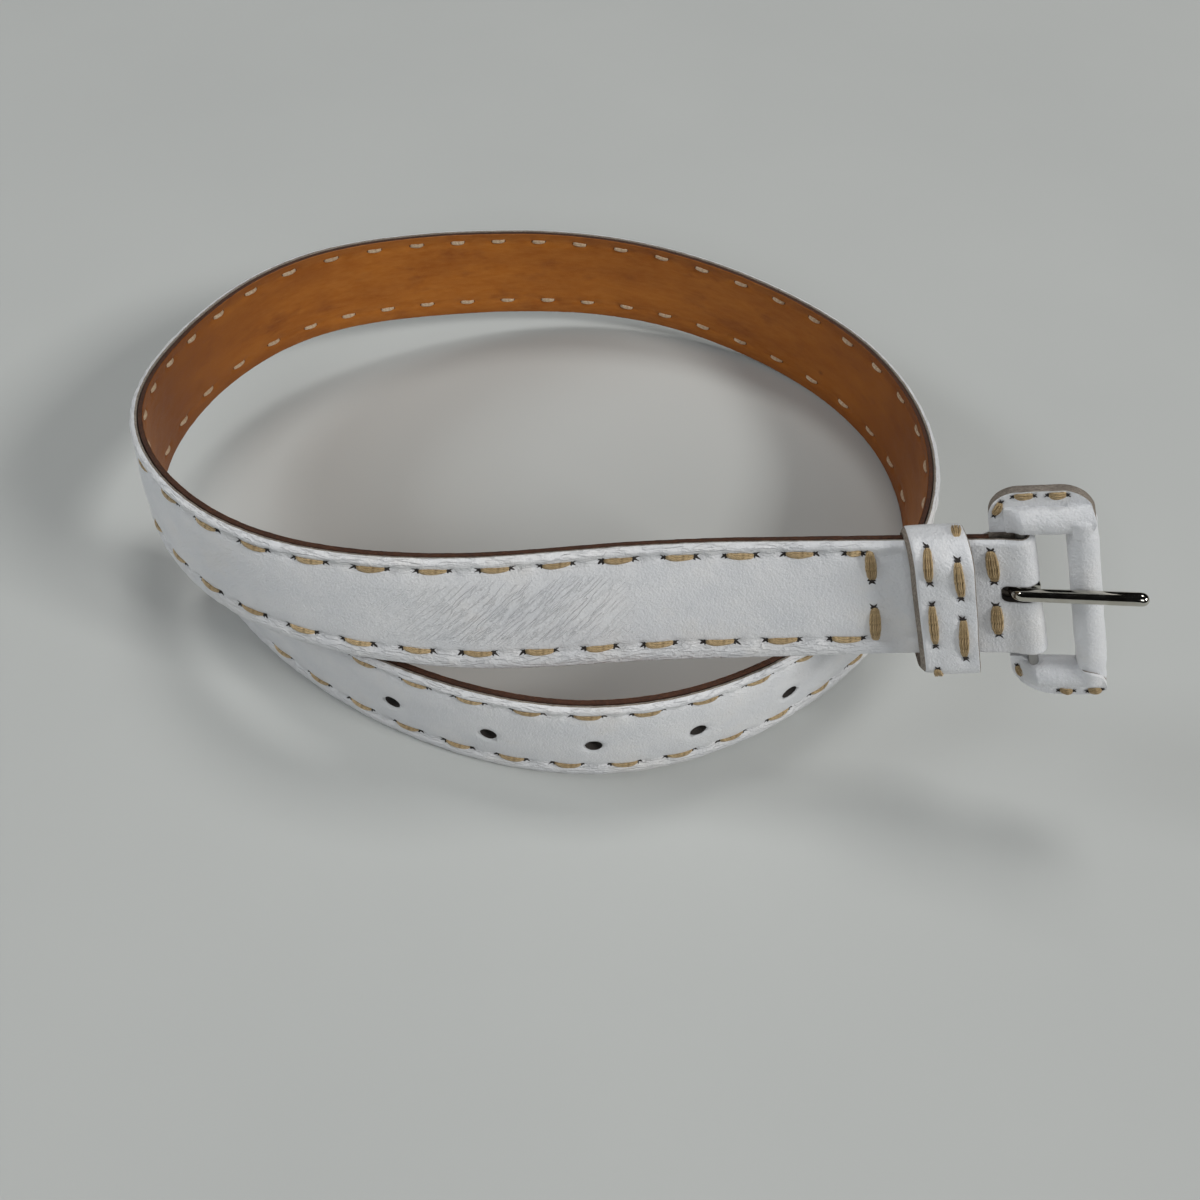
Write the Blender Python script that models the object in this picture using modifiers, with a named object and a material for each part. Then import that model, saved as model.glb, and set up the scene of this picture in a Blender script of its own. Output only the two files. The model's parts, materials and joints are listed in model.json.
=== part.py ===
"""Stitched leather waist belt, standing coiled on its lower edge.

Two leathers are sewn together by two rows of thick thread.  The buckle end is folded back round the heel
bar of a leather-covered frame and held by cross stitches on both sides of a sliding keeper.

The strap has its own coordinates: s runs from the fold towards the tip, u runs across the strap towards
its upper edge, and n runs out of the white face.  StrapPath turns them into world coordinates.
"""

import math

import bmesh
import bpy
import numpy as np
from mathutils import Matrix, Vector

MM = 0.001

# Where the strap goes.  The origin is on the table, at the middle of the belt's plan.
START_X, START_Y, START_HEADING = 102.7, -72.3, 168.0
# Stretches of the plan, from the fold to the tip: (length in mm, turn in degrees).
STRETCHES = (
    (55, 11),     # behind the buckle
    (55, 12),
    (55, -21),    # the front run bows a little
    (55, -42),
    (115, -95),   # left bend
    (55, -17),    # flat far side
    (115, -53),
    (55, -44),
    (60, -49),    # right bend
    (55, -24),
    (55, -36),    # tail, under the front run
    (105, -40),
)
# Height of the lower edge in mm and lean of the upper edge outwards in degrees, at places along the strap.
POSTURE = (
    (-55, 74.0, -30),
    (0, 48.5, -8),
    (55, 34.6, -20),
    (110, 34.0, -20),
    (165, 34.5, -8),
    (225, 32.0, -5),
    (280, 19.0, -7),
    (335, 18.0, 0),
    (395, 8.5, 5),
    (450, 5.0, 0),
    (505, 0.0, 0),
    (835, 0.0, 0),
)
BEND_BLEND = 38.0      # each change of bend is spread over this length
RUN_IN = 56.0          # the path is worked out this far before the fold as well

# Strap, in mm.
STRAP_WIDTH = 32.0
OUTER_THICK = 1.6      # white leather
LINING_THICK = 1.3     # tan leather
GAP = 0.3              # between neighbouring pieces
LINING_START = 9.6
FOLD_RETURN = 38.5     # the folded end reaches back this far
RETURN_SHARE = 0.88    # its width there, as a share of the strap's
TIP_LENGTH = 18.0      # the tip narrows over this length
TIP_SIZE = 0.30        # width of the very end, as a share of the strap's

# Rows of running stitch, in mm.
THREAD_RADIUS = 0.7
STITCH_HOLE = 2.0
STITCH_PITCH = 14.0
STITCH_LENGTH = 8.4    # from hole to hole on the white face
UPPER_ROW, LOWER_ROW = 13.0, -11.0
FIRST_HOLES = 37.5     # the first hole of both rows
FIRST_STITCH = 39.3    # where the middle of an even first stitch would be, between the two rows
ROW_STAGGER = 2.3      # the upper row is this much nearer to the buckle, the lower row as much further away
STITCHES = 55

# Belt holes, in mm.
HOLE_DIAMETER = 3.6
HOLE_SPACING = 25.4
FIRST_HOLE = 656.6
HOLES = 5

# Cross stitches on both sides of the keeper, in mm: place along the strap, then both ends across it.
CROSS_STITCHES = {
    "front_upper": (9.3, 13.6, 5.4),
    "front_lower": (9.3, -1.6, -9.8),
    "rear_upper": (35.1, 13.6, 6.2),
    "rear_lower": (35.1, -1.4, -11.0),
}

# Buckle frame, in mm.  Its own coordinates are x along s, y along n and z along u, from the heel bar's middle.
WIRE_RADIUS = 1.1
HEEL_BAR = 3.0         # distance of the heel bar from the fold's outer side
BAR_SPACING = 11.8     # heel bar to end bar
FRAME_DROP = 1.7       # the frame hangs this far below the strap's middle
WINDOW_HALF = 18.4     # half of the space between the two side covers
COVER_RADIUS = 3.2
END_BAR_RADIUS = 3.1
END_COVER_HALF = 24.2  # half the length of the end bar's cover, which rounds both corners
CORNER_RADIUS = 2.4
FLANGE_WIDTH = 4.0     # of the sewn rim, beyond the sleeve
FLANGE_THICK = 2.2
FLANGE_FRONT = -0.2    # height of its front face above the frame's middle
FLANGE_THREAD_RADIUS = 0.45
# Each rim's reach past the heel bar, and its corner radii at the heel side and at the end bar.
RIM_SHAPES = {"upper": (6.0, 6.4, 6.4), "lower": (4.8, 9.0, 3.0)}
RIM_STITCH_INSET = 1.3
RIM_HOLE_DISTANCES = {"upper": (0.4, 4.0, 7.0, 10.8, 13.6, 17.0), "lower": (0.3, 3.6, 12.7, 15.5, 18.6, 21.4)}

# Prong, in mm.
PRONG_RADIUS = 1.45
PRONG_PLACE = 1.9      # across the strap
PRONG_SKEW = 5.0       # degrees; the loose eye lets the tip lie a little higher than the slot
PRONG_REACH = 24.0     # from the heel bar to the tip
SLOT_WIDTH = 4.4
SLOT_REACH = 4.9       # past the heel bar, towards the strap

# Keeper, in mm.
KEEPER_PLACE = 19.6
KEEPER_WIDTH = 12.8
KEEPER_THICK = 1.4
KEEPER_HALF = 17.6     # half of the height inside
KEEPER_DROP = 1.1      # the loose loop hangs this far below the strap's middle
KEEPER_FRONT = 5.6     # inside face in front of the strap, with room for the tail
KEEPER_BACK = -4.2
KEEPER_CORNERS = {"front": 4.6, "back": 3.4}
# Rows of stitch on the keeper: place along it, then the heights of its holes, measured along the face.
KEEPER_STITCHES = {"left": (2.8, 18.2, 9.7, 3.5, -8.3), "right": (-3.2, 15.0, 5.3, -0.6, -12.0)}

BACK_FACE = -GAP - LINING_THICK      # of the lining
RETURN_MIDDLE = BACK_FACE - GAP - OUTER_THICK / 2
RETURN_FACE = BACK_FACE - GAP - OUTER_THICK
BAR_DEPTH = (BACK_FACE - GAP) / 2
FOLD_RADIUS = WIRE_RADIUS + GAP + OUTER_THICK / 2
NARROW_FROM = 12.0     # the return leg is narrower from here on
ROW_MIDDLE = (UPPER_ROW + LOWER_ROW) / 2
ROW_HALF = (UPPER_ROW - LOWER_ROW) / 2


# ------------------------------------------------------------------ strap path


class StrapPath:
    """The strap's middle line, with its directions, at every millimetre."""

    def __init__(self):
        lengths = np.array([length for length, _ in STRETCHES], float)
        turns = np.array([turn for _, turn in STRETCHES], float)
        self.length = float(lengths.sum())
        self.s = np.arange(-RUN_IN, self.length + 0.5)
        stretch = np.searchsorted(np.cumsum(lengths), self.s, side="right")
        stretch = np.clip(stretch, 0, len(lengths) - 1)
        bend = self.spread((turns / lengths)[stretch])
        fold = int(RUN_IN)
        turned = np.cumsum(bend) - np.cumsum(bend)[fold]
        heading = np.radians(START_HEADING + turned)

        places, rises, leans = np.array(POSTURE, float).T
        rise = self.spread(self.spread(np.interp(self.s, places, rises)))
        lean = np.radians(self.spread(self.spread(np.interp(self.s, places, leans))))
        slope = np.gradient(rise + STRAP_WIDTH / 2 * np.cos(lean))
        level = np.sqrt(1 - slope**2)
        along = np.stack([np.cos(heading) * level, np.sin(heading) * level, slope], 1)
        outward = np.stack([-np.sin(heading), np.cos(heading), 0 * heading], 1)
        upward = np.cross(along, outward)
        self.along = along
        self.across = upward * np.cos(lean)[:, None] + outward * np.sin(lean)[:, None]
        self.out = outward * np.cos(lean)[:, None] - upward * np.sin(lean)[:, None]
        plan = np.cumsum(along[:, :2], axis=0)
        plan += np.array([START_X, START_Y]) - plan[fold]
        height = rise + STRAP_WIDTH / 2 * self.across[:, 2]
        self.middle = np.column_stack([plan, height])

    @staticmethod
    def spread(values):
        """A moving average, which keeps the end values level with their neighbours."""
        count = int(BEND_BLEND) | 1
        padded = np.pad(values, count // 2, mode="edge")
        return np.convolve(padded, np.ones(count) / count, "valid")

    def at(self, rows, s):
        return Vector([float(np.interp(s, self.s, rows[:, k])) for k in range(3)])

    def place(self, s, u, n):
        """The world position of a point given along, across and out of the strap."""
        point = self.at(self.middle, s) + self.at(self.across, s) * u + self.at(self.out, s) * n
        return point * MM

    def frame(self, s, u, n):
        """A matrix whose x, y and z run along, out of and across the strap at one place."""
        x = self.at(self.along, s).normalized()
        z = self.at(self.across, s)
        z = (z - x * z.dot(x)).normalized()
        y = z.cross(x)
        turn = Matrix((x, y, z)).transposed().to_4x4()
        return Matrix.Translation(self.place(s, u, n)) @ turn


PATH = StrapPath()


# ------------------------------------------------------------------ scene and materials


def clear_scene():
    for item in list(bpy.data.objects):
        bpy.data.objects.remove(item, do_unlink=True)


def new_collection(name):
    group = bpy.data.collections.new(name)
    bpy.context.scene.collection.children.link(group)
    return group


def new_material(name, colour, roughness, metallic=0.0):
    material = bpy.data.materials.new(name)
    material.use_nodes = True
    shader = material.node_tree.nodes["Principled BSDF"]
    shader.inputs["Base Color"].default_value = (*colour, 1.0)
    shader.inputs["Roughness"].default_value = roughness
    shader.inputs["Metallic"].default_value = metallic
    return material


clear_scene()
PARTS = new_collection("leather_belt")
CUTTERS = new_collection("cutters")
MATERIALS = {
    "white_leather": ((0.72, 0.72, 0.71), 0.45, 0.0),
    "tan_leather": ((0.36, 0.16, 0.05), 0.55, 0.0),
    "thread": ((0.50, 0.34, 0.16), 0.75, 0.0),
    "steel": ((0.45, 0.45, 0.46), 0.40, 1.0),
    "nickel": ((0.62, 0.60, 0.55), 0.12, 1.0),
}


def own_material(name, kind):
    return new_material(f"{name}_{kind}", *MATERIALS[kind])


def add_object(name, data, kind=None, matrix=None, group=None):
    """Links an object; a part takes its material, and a cutter is hidden from renders."""
    item = bpy.data.objects.new(name, data)
    (group or PARTS).objects.link(item)
    if kind:
        data.materials.append(own_material(name, kind))
    else:
        item.hide_render = True
        item.display_type = "WIRE"
    if matrix is not None:
        item.matrix_world = matrix
    return item


def mesh_from(work, name, smooth_angle=None):
    bmesh.ops.recalc_face_normals(work, faces=work.faces)
    mesh = bpy.data.meshes.new(name)
    work.to_mesh(mesh)
    work.free()
    if smooth_angle is not None:
        mesh.shade_smooth()
        mesh.set_sharp_from_angle(angle=math.radians(smooth_angle))
    return mesh


def cut(target, cutter):
    modifier = target.modifiers.new(f"cut_{cutter.name}", "BOOLEAN")
    modifier.operation = "DIFFERENCE"
    modifier.object = cutter


# ------------------------------------------------------------------ shared shapes


def sheet_mesh(name, front, back, openings=(), closed=False):
    """A sheet with two faces, walls round its edges and square openings through it.

    front and back hold the same grid of points: front[i][j] is station i, column j.  An opening (i, j) is
    the cell between stations i and i+1 and columns j and j+1.  A closed sheet joins its ends.
    """
    openings = set(openings)
    work = bmesh.new()
    grids = [[[work.verts.new(p) for p in row] for row in side] for side in (front, back)]
    stations, columns = len(front), len(front[0])
    spans = stations if closed else stations - 1

    def filled(i, j):
        if closed:
            i %= stations
        return 0 <= i < spans and 0 <= j < columns - 1 and (i, j) not in openings

    for i in range(spans):
        after = (i + 1) % stations
        for j in range(columns - 1):
            if not filled(i, j):
                continue
            for side, grid in enumerate(grids):
                corners = [grid[i][j], grid[after][j], grid[after][j + 1], grid[i][j + 1]]
                work.faces.new(corners if side else corners[::-1])
            edges = {
                (i - 1, j): ((i, j), (i, j + 1)),
                (i + 1, j): ((after, j), (after, j + 1)),
                (i, j - 1): ((i, j), (after, j)),
                (i, j + 1): ((i, j + 1), (after, j + 1)),
            }
            for neighbour, (a, b) in edges.items():
                if not filled(*neighbour):
                    wall = [grids[0][a[0]][a[1]], grids[0][b[0]][b[1]]]
                    wall += [grids[1][b[0]][b[1]], grids[1][a[0]][a[1]]]
                    work.faces.new(wall)
    return mesh_from(work, name)


def wire_curve(name, points, radius, closed=False, sides=4, radii=None):
    """A round wire through the points; radii scales it point by point."""
    curve = bpy.data.curves.new(name, "CURVE")
    curve.dimensions = "3D"
    curve.bevel_depth = radius
    curve.bevel_resolution = sides // 2 - 2
    curve.use_fill_caps = True
    spline = curve.splines.new("POLY")
    spline.points.add(len(points) - 1)
    for k, point in enumerate(points):
        spline.points[k].co = (*point, 1.0)
        spline.points[k].radius = radii[k] if radii else 1.0
    spline.use_cyclic_u = closed
    return curve


def mesh_of_curve(name, curve):
    """The curve as a closed mesh, for a piece that is cut or that cuts."""
    item = bpy.data.objects.new(name, curve)
    PARTS.objects.link(item)
    bpy.context.view_layer.update()
    graph = bpy.context.evaluated_depsgraph_get()
    mesh = bpy.data.meshes.new_from_object(item.evaluated_get(graph))
    bpy.data.objects.remove(item)
    work = bmesh.new()
    work.from_mesh(mesh)
    bmesh.ops.remove_doubles(work, verts=work.verts, dist=1e-6)
    bmesh.ops.recalc_face_normals(work, faces=work.faces)
    work.to_mesh(mesh)
    work.free()
    return mesh


def arc(middle, radius, start, end, steps):
    """Points on an arc in a plane; angles in degrees, both ends included."""
    angles = [math.radians(start + (end - start) * k / steps) for k in range(steps + 1)]
    return [(middle[0] + radius * math.cos(a), middle[1] + radius * math.sin(a)) for a in angles]


def rounded_rectangle(low, high, radii, steps):
    """Corner points of a rounded rectangle, anticlockwise from the lower right; radii for its right and left."""
    (x0, y0), (x1, y1) = low, high
    corners = ((x1, y0, -90), (x1, y1, 0), (x0, y1, 90), (x0, y0, 180))
    points = []
    for x, y, start in corners:
        radius = radii[0] if x == x1 else radii[1]
        middle = (x - math.copysign(radius, x - (x0 + x1) / 2), y - math.copysign(radius, y - (y0 + y1) / 2))
        points += arc(middle, radius, start, start + 90, steps)
    return points


# ------------------------------------------------------------------ strap


def half_width_share(s):
    """1 along the strap, falling to TIP_SIZE in a round curve at the tip."""
    t = (s - (PATH.length - TIP_LENGTH)) / TIP_LENGTH
    if t <= 0:
        return 1.0
    return TIP_SIZE + (1 - TIP_SIZE) * math.sqrt(max(0.0, 1 - t**2))


def tip_stations():
    steps = 5
    return [PATH.length - TIP_LENGTH * math.cos(math.pi / 2 * k / steps) for k in range(steps + 1)]


def stitch_holes():
    """(s, stagger) of every hole along the line between the rows; the first holes are level."""
    holes = []
    for k in range(STITCHES):
        middle = FIRST_STITCH + k * STITCH_PITCH
        holes += [(middle - STITCH_LENGTH / 2, 1.0), (middle + STITCH_LENGTH / 2, 1.0)]
    return [(FIRST_HOLES, 0.0)] + holes[1:]


def stagger(u):
    """How far a point of the rows moves along the strap, because the rows are staggered."""
    return -ROW_STAGGER * (u - ROW_MIDDLE) / ROW_HALF


def leather_columns():
    half = STITCH_HOLE / 2
    edge = STRAP_WIDTH / 2
    return [-edge, LOWER_ROW - half, LOWER_ROW + half, UPPER_ROW - half, UPPER_ROW + half, edge]


def row_stations(n):
    """(s, n, stagger, opens) along the rows, and then to the tip; opens marks a station that starts a hole."""
    half = STITCH_HOLE / 2
    stations = []
    for middle, share in stitch_holes():
        stations += [(middle - half, n, share, True), (middle + half, n, share, False)]
    return stations + [(s, n, 0.0, False) for s in tip_stations()]


def leather_mesh(name, stations, thickness):
    """A strip of leather whose middle surface runs through the stations, with the rows' holes."""
    columns = leather_columns()
    front, back, openings = [], [], []
    line = np.array([(s, n) for s, n, _, _ in stations])
    tangents = np.gradient(line, axis=0)
    for i, (s, n, slant, opens) in enumerate(stations):
        ds, dn = tangents[i] / np.hypot(*tangents[i])
        side = Vector((-dn, ds)) * thickness / 2
        rows = ([], [])
        for u in columns:
            shift = slant * stagger(u)
            share = half_width_share(s) if n > RETURN_MIDDLE + 0.1 or s < NARROW_FROM else RETURN_SHARE
            rows[0].append(PATH.place(s + shift + side.x, u * share, n + side.y))
            rows[1].append(PATH.place(s + shift - side.x, u * share, n - side.y))
        front.append(rows[0])
        back.append(rows[1])
        if opens:
            openings += [(i, 1), (i, 3)]
    return sheet_mesh(name, front, back, openings)


def fold_stations():
    """The folded end: the return leg, round the heel bar, and out to the front."""
    front_middle = OUTER_THICK / 2
    fold_end = HEEL_BAR + 2 * FOLD_RADIUS
    stations = [(s, RETURN_MIDDLE) for s in (FOLD_RETURN, 29.0, 19.0, NARROW_FROM, fold_end)]
    bend = arc((HEEL_BAR, BAR_DEPTH), FOLD_RADIUS, -90, -270, 8)
    stations += bend + [(fold_end, front_middle), (19.0, front_middle), (29.0, front_middle)]
    return [(s, n, 0.0, False) for s, n in stations]


def outer_leather():
    stations = fold_stations() + row_stations(OUTER_THICK / 2)
    return add_object("strap_outer", leather_mesh("strap_outer", stations, OUTER_THICK), "white_leather")


def lining():
    middle = BACK_FACE + LINING_THICK / 2
    stations = [(s, middle, 0.0, False) for s in (LINING_START, 19.0, 29.0)] + row_stations(middle)
    return add_object("strap_lining", leather_mesh("strap_lining", stations, LINING_THICK), "tan_leather")


def box_at(work, matrix, size):
    bmesh.ops.create_cube(work, size=1.0, matrix=matrix @ Matrix.Diagonal((*size, 1.0)))


def belt_hole_cutter():
    work = bmesh.new()
    depth = 4 * OUTER_THICK * MM
    for k in range(HOLES):
        stand = Matrix.Rotation(math.pi / 2, 4, "X")
        frame = PATH.frame(FIRST_HOLE + k * HOLE_SPACING, 0, 0) @ stand
        radius = HOLE_DIAMETER / 2 * MM
        bmesh.ops.create_cone(
            work, cap_ends=True, segments=16, radius1=radius, radius2=radius, depth=2 * depth, matrix=frame
        )
    return add_object("belt_hole_cutter", mesh_from(work, "belt_hole_cutter"), group=CUTTERS)


def cross_hole_cutter():
    work = bmesh.new()
    for s, *ends in CROSS_STITCHES.values():
        for u in ends:
            size = Vector((STITCH_HOLE, 6 * OUTER_THICK, STITCH_HOLE)) * MM
            box_at(work, PATH.frame(s, u, RETURN_FACE / 2), size)
    return add_object("cross_hole_cutter", mesh_from(work, "cross_hole_cutter"), group=CUTTERS)


def slot_cutter():
    """The opening in the fold that the prong passes through, in the front, the fold and the return leg."""
    reach = HEEL_BAR + SLOT_REACH
    ahead = 2.0
    middle = PATH.frame((reach - ahead) / 2, PRONG_PLACE, BAR_DEPTH)
    work = bmesh.new()
    box_at(work, middle, Vector((reach + ahead, 8 * OUTER_THICK, SLOT_WIDTH)) * MM)
    return add_object("slot_cutter", mesh_from(work, "slot_cutter"), group=CUTTERS)


# ------------------------------------------------------------------ threads of the strap


def row_thread(name, u):
    """One thread: over the white face, through, along the lining, and back, to the last stitch."""
    over = OUTER_THICK + GAP + THREAD_RADIUS
    under = BACK_FACE - GAP - THREAD_RADIUS
    points = []
    for k, (s, share) in enumerate(stitch_holes()):
        levels = (under, over) if k % 2 == 0 else (over, under)
        points += [PATH.place(s + share * stagger(u), u, level) for level in levels]
    curve = wire_curve(name, points[1:-1], THREAD_RADIUS * MM)
    return add_object(name, curve, "thread")


def cross_thread(name, s, ends):
    """A closed loop of thread through two holes, round every layer of the folded end."""
    over = OUTER_THICK + GAP + THREAD_RADIUS
    under = RETURN_FACE - GAP - THREAD_RADIUS
    frame = PATH.frame(s, 0, 0)
    corners = [(over, ends[0]), (over, ends[1]), (under, ends[1]), (under, ends[0])]
    points = [frame @ (Vector((0, n, u)) * MM) for n, u in corners]
    return add_object(name, wire_curve(name, points, THREAD_RADIUS * MM, closed=True, sides=6), "thread")


# ------------------------------------------------------------------ buckle


def frame_outline():
    """The frame's middle line as (x, z) points: a rounded rectangle from the heel bar to the end bar."""
    half = WINDOW_HALF + COVER_RADIUS
    return rounded_rectangle((-BAR_SPACING, -half), (0.0, half), (CORNER_RADIUS, CORNER_RADIUS), 4)


def frame_curve(name, radius):
    points = [Vector((x, 0, z)) * MM for x, z in frame_outline()]
    return wire_curve(name, points, radius * MM, closed=True, sides=8)


def rim_crest(level, inset):
    """The outer line of a side cover's rim, as (x, z) points from heel to end, moved in by inset."""
    heel, heel_radius, end_radius = RIM_SHAPES[level]
    end = -BAR_SPACING - END_BAR_RADIUS + 0.4
    top = WINDOW_HALF + 2 * COVER_RADIUS + FLANGE_WIDTH
    heel_arc = arc((heel - heel_radius, top - heel_radius), heel_radius - inset, 0, 90, 6)
    return heel_arc + arc((end + end_radius, top - end_radius), end_radius - inset, 90, 180, 4)


def flange_outline(level):
    """The sewn rim of a side cover, as (x, z) points; z is outward from the frame's middle."""
    inner = WINDOW_HALF + 1.0
    crest = rim_crest(level, 0.0)
    return [(crest[-1][0], inner), (crest[0][0], inner)] + crest


def side_cover(level, side, clearance):
    """Leather folded round one arm of the frame: a sleeve with a flat sewn rim, saddled on the end bar's cover."""
    name = f"side_cover_{level}"
    sleeve_middle = side * (WINDOW_HALF + COVER_RADIUS)
    heel, end = 2.1, -BAR_SPACING
    work = bmesh.new()
    lie = Matrix.Rotation(math.pi / 2, 4, "Y")
    centre = Matrix.Translation(Vector(((heel + end) / 2, 0, sleeve_middle)) * MM)
    bmesh.ops.create_cone(
        work, cap_ends=True, segments=16, radius1=COVER_RADIUS * MM, radius2=COVER_RADIUS * MM,
        depth=(heel - end) * MM, matrix=centre @ lie,
    )
    sleeve = add_object(name, mesh_from(work, name, 40), "white_leather", BUCKLE_FRAME)

    rim = bmesh.new()
    outline = flange_outline(level)
    lower = [rim.verts.new(Vector((x, FLANGE_FRONT - FLANGE_THICK, side * z)) * MM) for x, z in outline]
    face = rim.faces.new(lower)
    raised = bmesh.ops.extrude_face_region(rim, geom=[face])["geom"]
    moved = [item for item in raised if isinstance(item, bmesh.types.BMVert)]
    bmesh.ops.translate(rim, verts=moved, vec=Vector((0, FLANGE_THICK, 0)) * MM)
    rim_cutter = add_object(f"{name}_rim", mesh_from(rim, f"{name}_rim"), None, BUCKLE_FRAME, CUTTERS)
    join = sleeve.modifiers.new("join_rim", "BOOLEAN")
    join.operation = "UNION"
    join.object = rim_cutter
    for cutter in clearance:
        cut(sleeve, cutter)
    return sleeve


def point_along(line, distance):
    """The point at a distance along a line of (x, z) points."""
    for (x0, z0), (x1, z1) in zip(line, line[1:]):
        length = math.hypot(x1 - x0, z1 - z0)
        if distance <= length:
            share = distance / length
            return x0 + (x1 - x0) * share, z0 + (z1 - z0) * share
        distance -= length
    return line[-1]


def flange_holes(level, side):
    """The rim's hole middles, as (x, z) points from heel to end."""
    line = rim_crest(level, RIM_STITCH_INSET)
    return [(x, side * z) for x, z in (point_along(line, d) for d in RIM_HOLE_DISTANCES[level])]


def flange_hole_cutter(level, side):
    name = f"rim_hole_cutter_{level}"
    work = bmesh.new()
    size = 2 * (FLANGE_THREAD_RADIUS + GAP)
    for x, z in flange_holes(level, side):
        box_at(work, Matrix.Translation(Vector((x, 0, z)) * MM), Vector((size, 4 * FLANGE_THICK, size)) * MM)
    return add_object(name, mesh_from(work, name), None, BUCKLE_FRAME, CUTTERS)


def flange_thread(level, side):
    """Running stitch along the rim of a side cover."""
    name = f"side_cover_thread_{level}"
    over = FLANGE_FRONT + GAP + FLANGE_THREAD_RADIUS
    under = FLANGE_FRONT - FLANGE_THICK - GAP - FLANGE_THREAD_RADIUS
    points = []
    for k, (x, z) in enumerate(flange_holes(level, side)):
        levels = (under, over) if k % 2 == 0 else (over, under)
        points += [Vector((x, y, z)) * MM for y in levels]
    curve = wire_curve(name, points[1:-1], FLANGE_THREAD_RADIUS * MM, sides=6)
    return add_object(name, curve, "thread", BUCKLE_FRAME)


def bar_tube(name, radius, half, kind=None, group=None):
    """A round bar with softened ends on the end bar's axis: a profile turned about the bar."""
    rounding = 0.6
    profile = [(0, half), (radius - rounding, half), (radius, half - rounding)]
    profile += [(r, -z) for r, z in reversed(profile)]
    work = bmesh.new()
    ring = [work.verts.new(Vector((r, 0, z)) * MM) for r, z in profile]
    for a, b in zip(ring, ring[1:]):
        work.edges.new((a, b))
    mesh = bpy.data.meshes.new(name)
    work.to_mesh(mesh)
    work.free()
    place = BUCKLE_FRAME @ Matrix.Translation(Vector((-BAR_SPACING, 0, 0)) * MM)
    item = add_object(name, mesh, kind, place, group)
    screw = item.modifiers.new("turn", "SCREW")
    screw.axis = "Z"
    screw.steps = screw.render_steps = 20
    screw.use_merge_vertices = True
    screw.merge_threshold = 0.00001
    return item


def end_bar_cover(clearance):
    """Leather rolled round the end bar and both of its corners."""
    item = bar_tube("end_bar_cover", END_BAR_RADIUS, END_COVER_HALF, "white_leather")
    cut(item, clearance)
    return item


# ------------------------------------------------------------------ prong


def prong():
    """A rod bent round the heel bar, lying over the end bar, with a round tip."""
    eye = WIRE_RADIUS + GAP + PRONG_RADIUS
    rest = END_BAR_RADIUS + GAP + PRONG_RADIUS
    reach = math.hypot(BAR_SPACING, rest)
    tilt = math.atan2(rest, BAR_SPACING) - math.asin(eye / reach)
    leave = 90 - math.degrees(tilt)
    bend = arc((0, 0), eye, leave - 275, leave, 16)
    direction = Vector((-math.cos(tilt), math.sin(tilt)))
    start = Vector(bend[-1])
    rod = PRONG_REACH - PRONG_RADIUS
    points = [Vector(p) for p in bend] + [start + direction * rod]
    radii = [1.0] * len(points)
    for angle in (30, 60, 85):
        a = math.radians(angle)
        points.append(start + direction * (rod + PRONG_RADIUS * math.sin(a)))
        radii.append(math.cos(a))
    skew = Matrix.Rotation(math.radians(PRONG_SKEW), 4, "Y")
    place = PATH.frame(HEEL_BAR, PRONG_PLACE, BAR_DEPTH) @ skew
    curve = wire_curve("prong", [Vector((x, y, 0)) * MM for x, y in points], PRONG_RADIUS * MM,
                       sides=12, radii=radii)
    return add_object("prong", curve, "nickel", place)


# ------------------------------------------------------------------ keeper


def keeper_line(offset):
    """The keeper's section as (n, u) points, a distance out from its inside face."""
    low = (KEEPER_BACK - offset, -KEEPER_HALF - offset - KEEPER_DROP)
    high = (KEEPER_FRONT + offset, KEEPER_HALF + offset - KEEPER_DROP)
    return rounded_rectangle(low, high, [radius + offset for radius in KEEPER_CORNERS.values()], 4)


def keeper_point(x, height, out):
    """A point in front of the keeper's inside face, and the angle its face has turned through there."""
    corner = KEEPER_CORNERS["front"]
    bend = KEEPER_HALF - KEEPER_DROP - corner
    angle = max(0.0, height - bend) / (corner + KEEPER_THICK)
    n = KEEPER_FRONT - corner + (corner + out) * math.cos(angle)
    u = min(height, bend) + (corner + out) * math.sin(angle)
    return Vector((x, n, u)) * MM, angle


def keeper_hole_cutter():
    """Square pins through the keeper's front wall, one for each hole."""
    work = bmesh.new()
    for x, *heights in KEEPER_STITCHES.values():
        for height in heights:
            spot, angle = keeper_point(x, height, KEEPER_THICK / 2)
            matrix = Matrix.Translation(spot) @ Matrix.Rotation(angle, 4, "X")
            box_at(work, matrix, Vector((STITCH_HOLE, 3 * KEEPER_THICK, STITCH_HOLE)) * MM)
    return add_object("keeper_hole_cutter", mesh_from(work, "keeper_hole_cutter"), None, KEEPER_FRAME, CUTTERS)


def keeper():
    """A closed leather loop, open at both sides for the strap: a band between two section lines."""
    half = KEEPER_WIDTH / 2
    stations = list(zip(keeper_line(KEEPER_THICK), keeper_line(0)))
    front = [[Vector((x, n, u)) * MM for x in (-half, half)] for (n, u), _ in stations]
    back = [[Vector((x, n, u)) * MM for x in (-half, half)] for _, (n, u) in stations]
    mesh = sheet_mesh("keeper_loop", front, back, closed=True)
    item = add_object("keeper_loop", mesh, "white_leather", KEEPER_FRAME)
    cut(item, keeper_hole_cutter())
    return item


def keeper_thread(side):
    """Two stitches on the keeper's face, joined by one inside it, with both ends in their holes."""
    name = f"keeper_thread_{side}"
    x, first, second, third, fourth = KEEPER_STITCHES[side]
    over, under = KEEPER_THICK + GAP + THREAD_RADIUS, -GAP - THREAD_RADIUS
    path = [(first, 0.0)] + [(first + (second - first) * k / 4, over) for k in range(5)]
    path += [(second, under), (third, under), (third, over), (fourth, over), (fourth, 0.0)]
    points = [keeper_point(x, height, out)[0] for height, out in path]
    return add_object(name, wire_curve(name, points, THREAD_RADIUS * MM, sides=6), "thread", KEEPER_FRAME)


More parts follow.
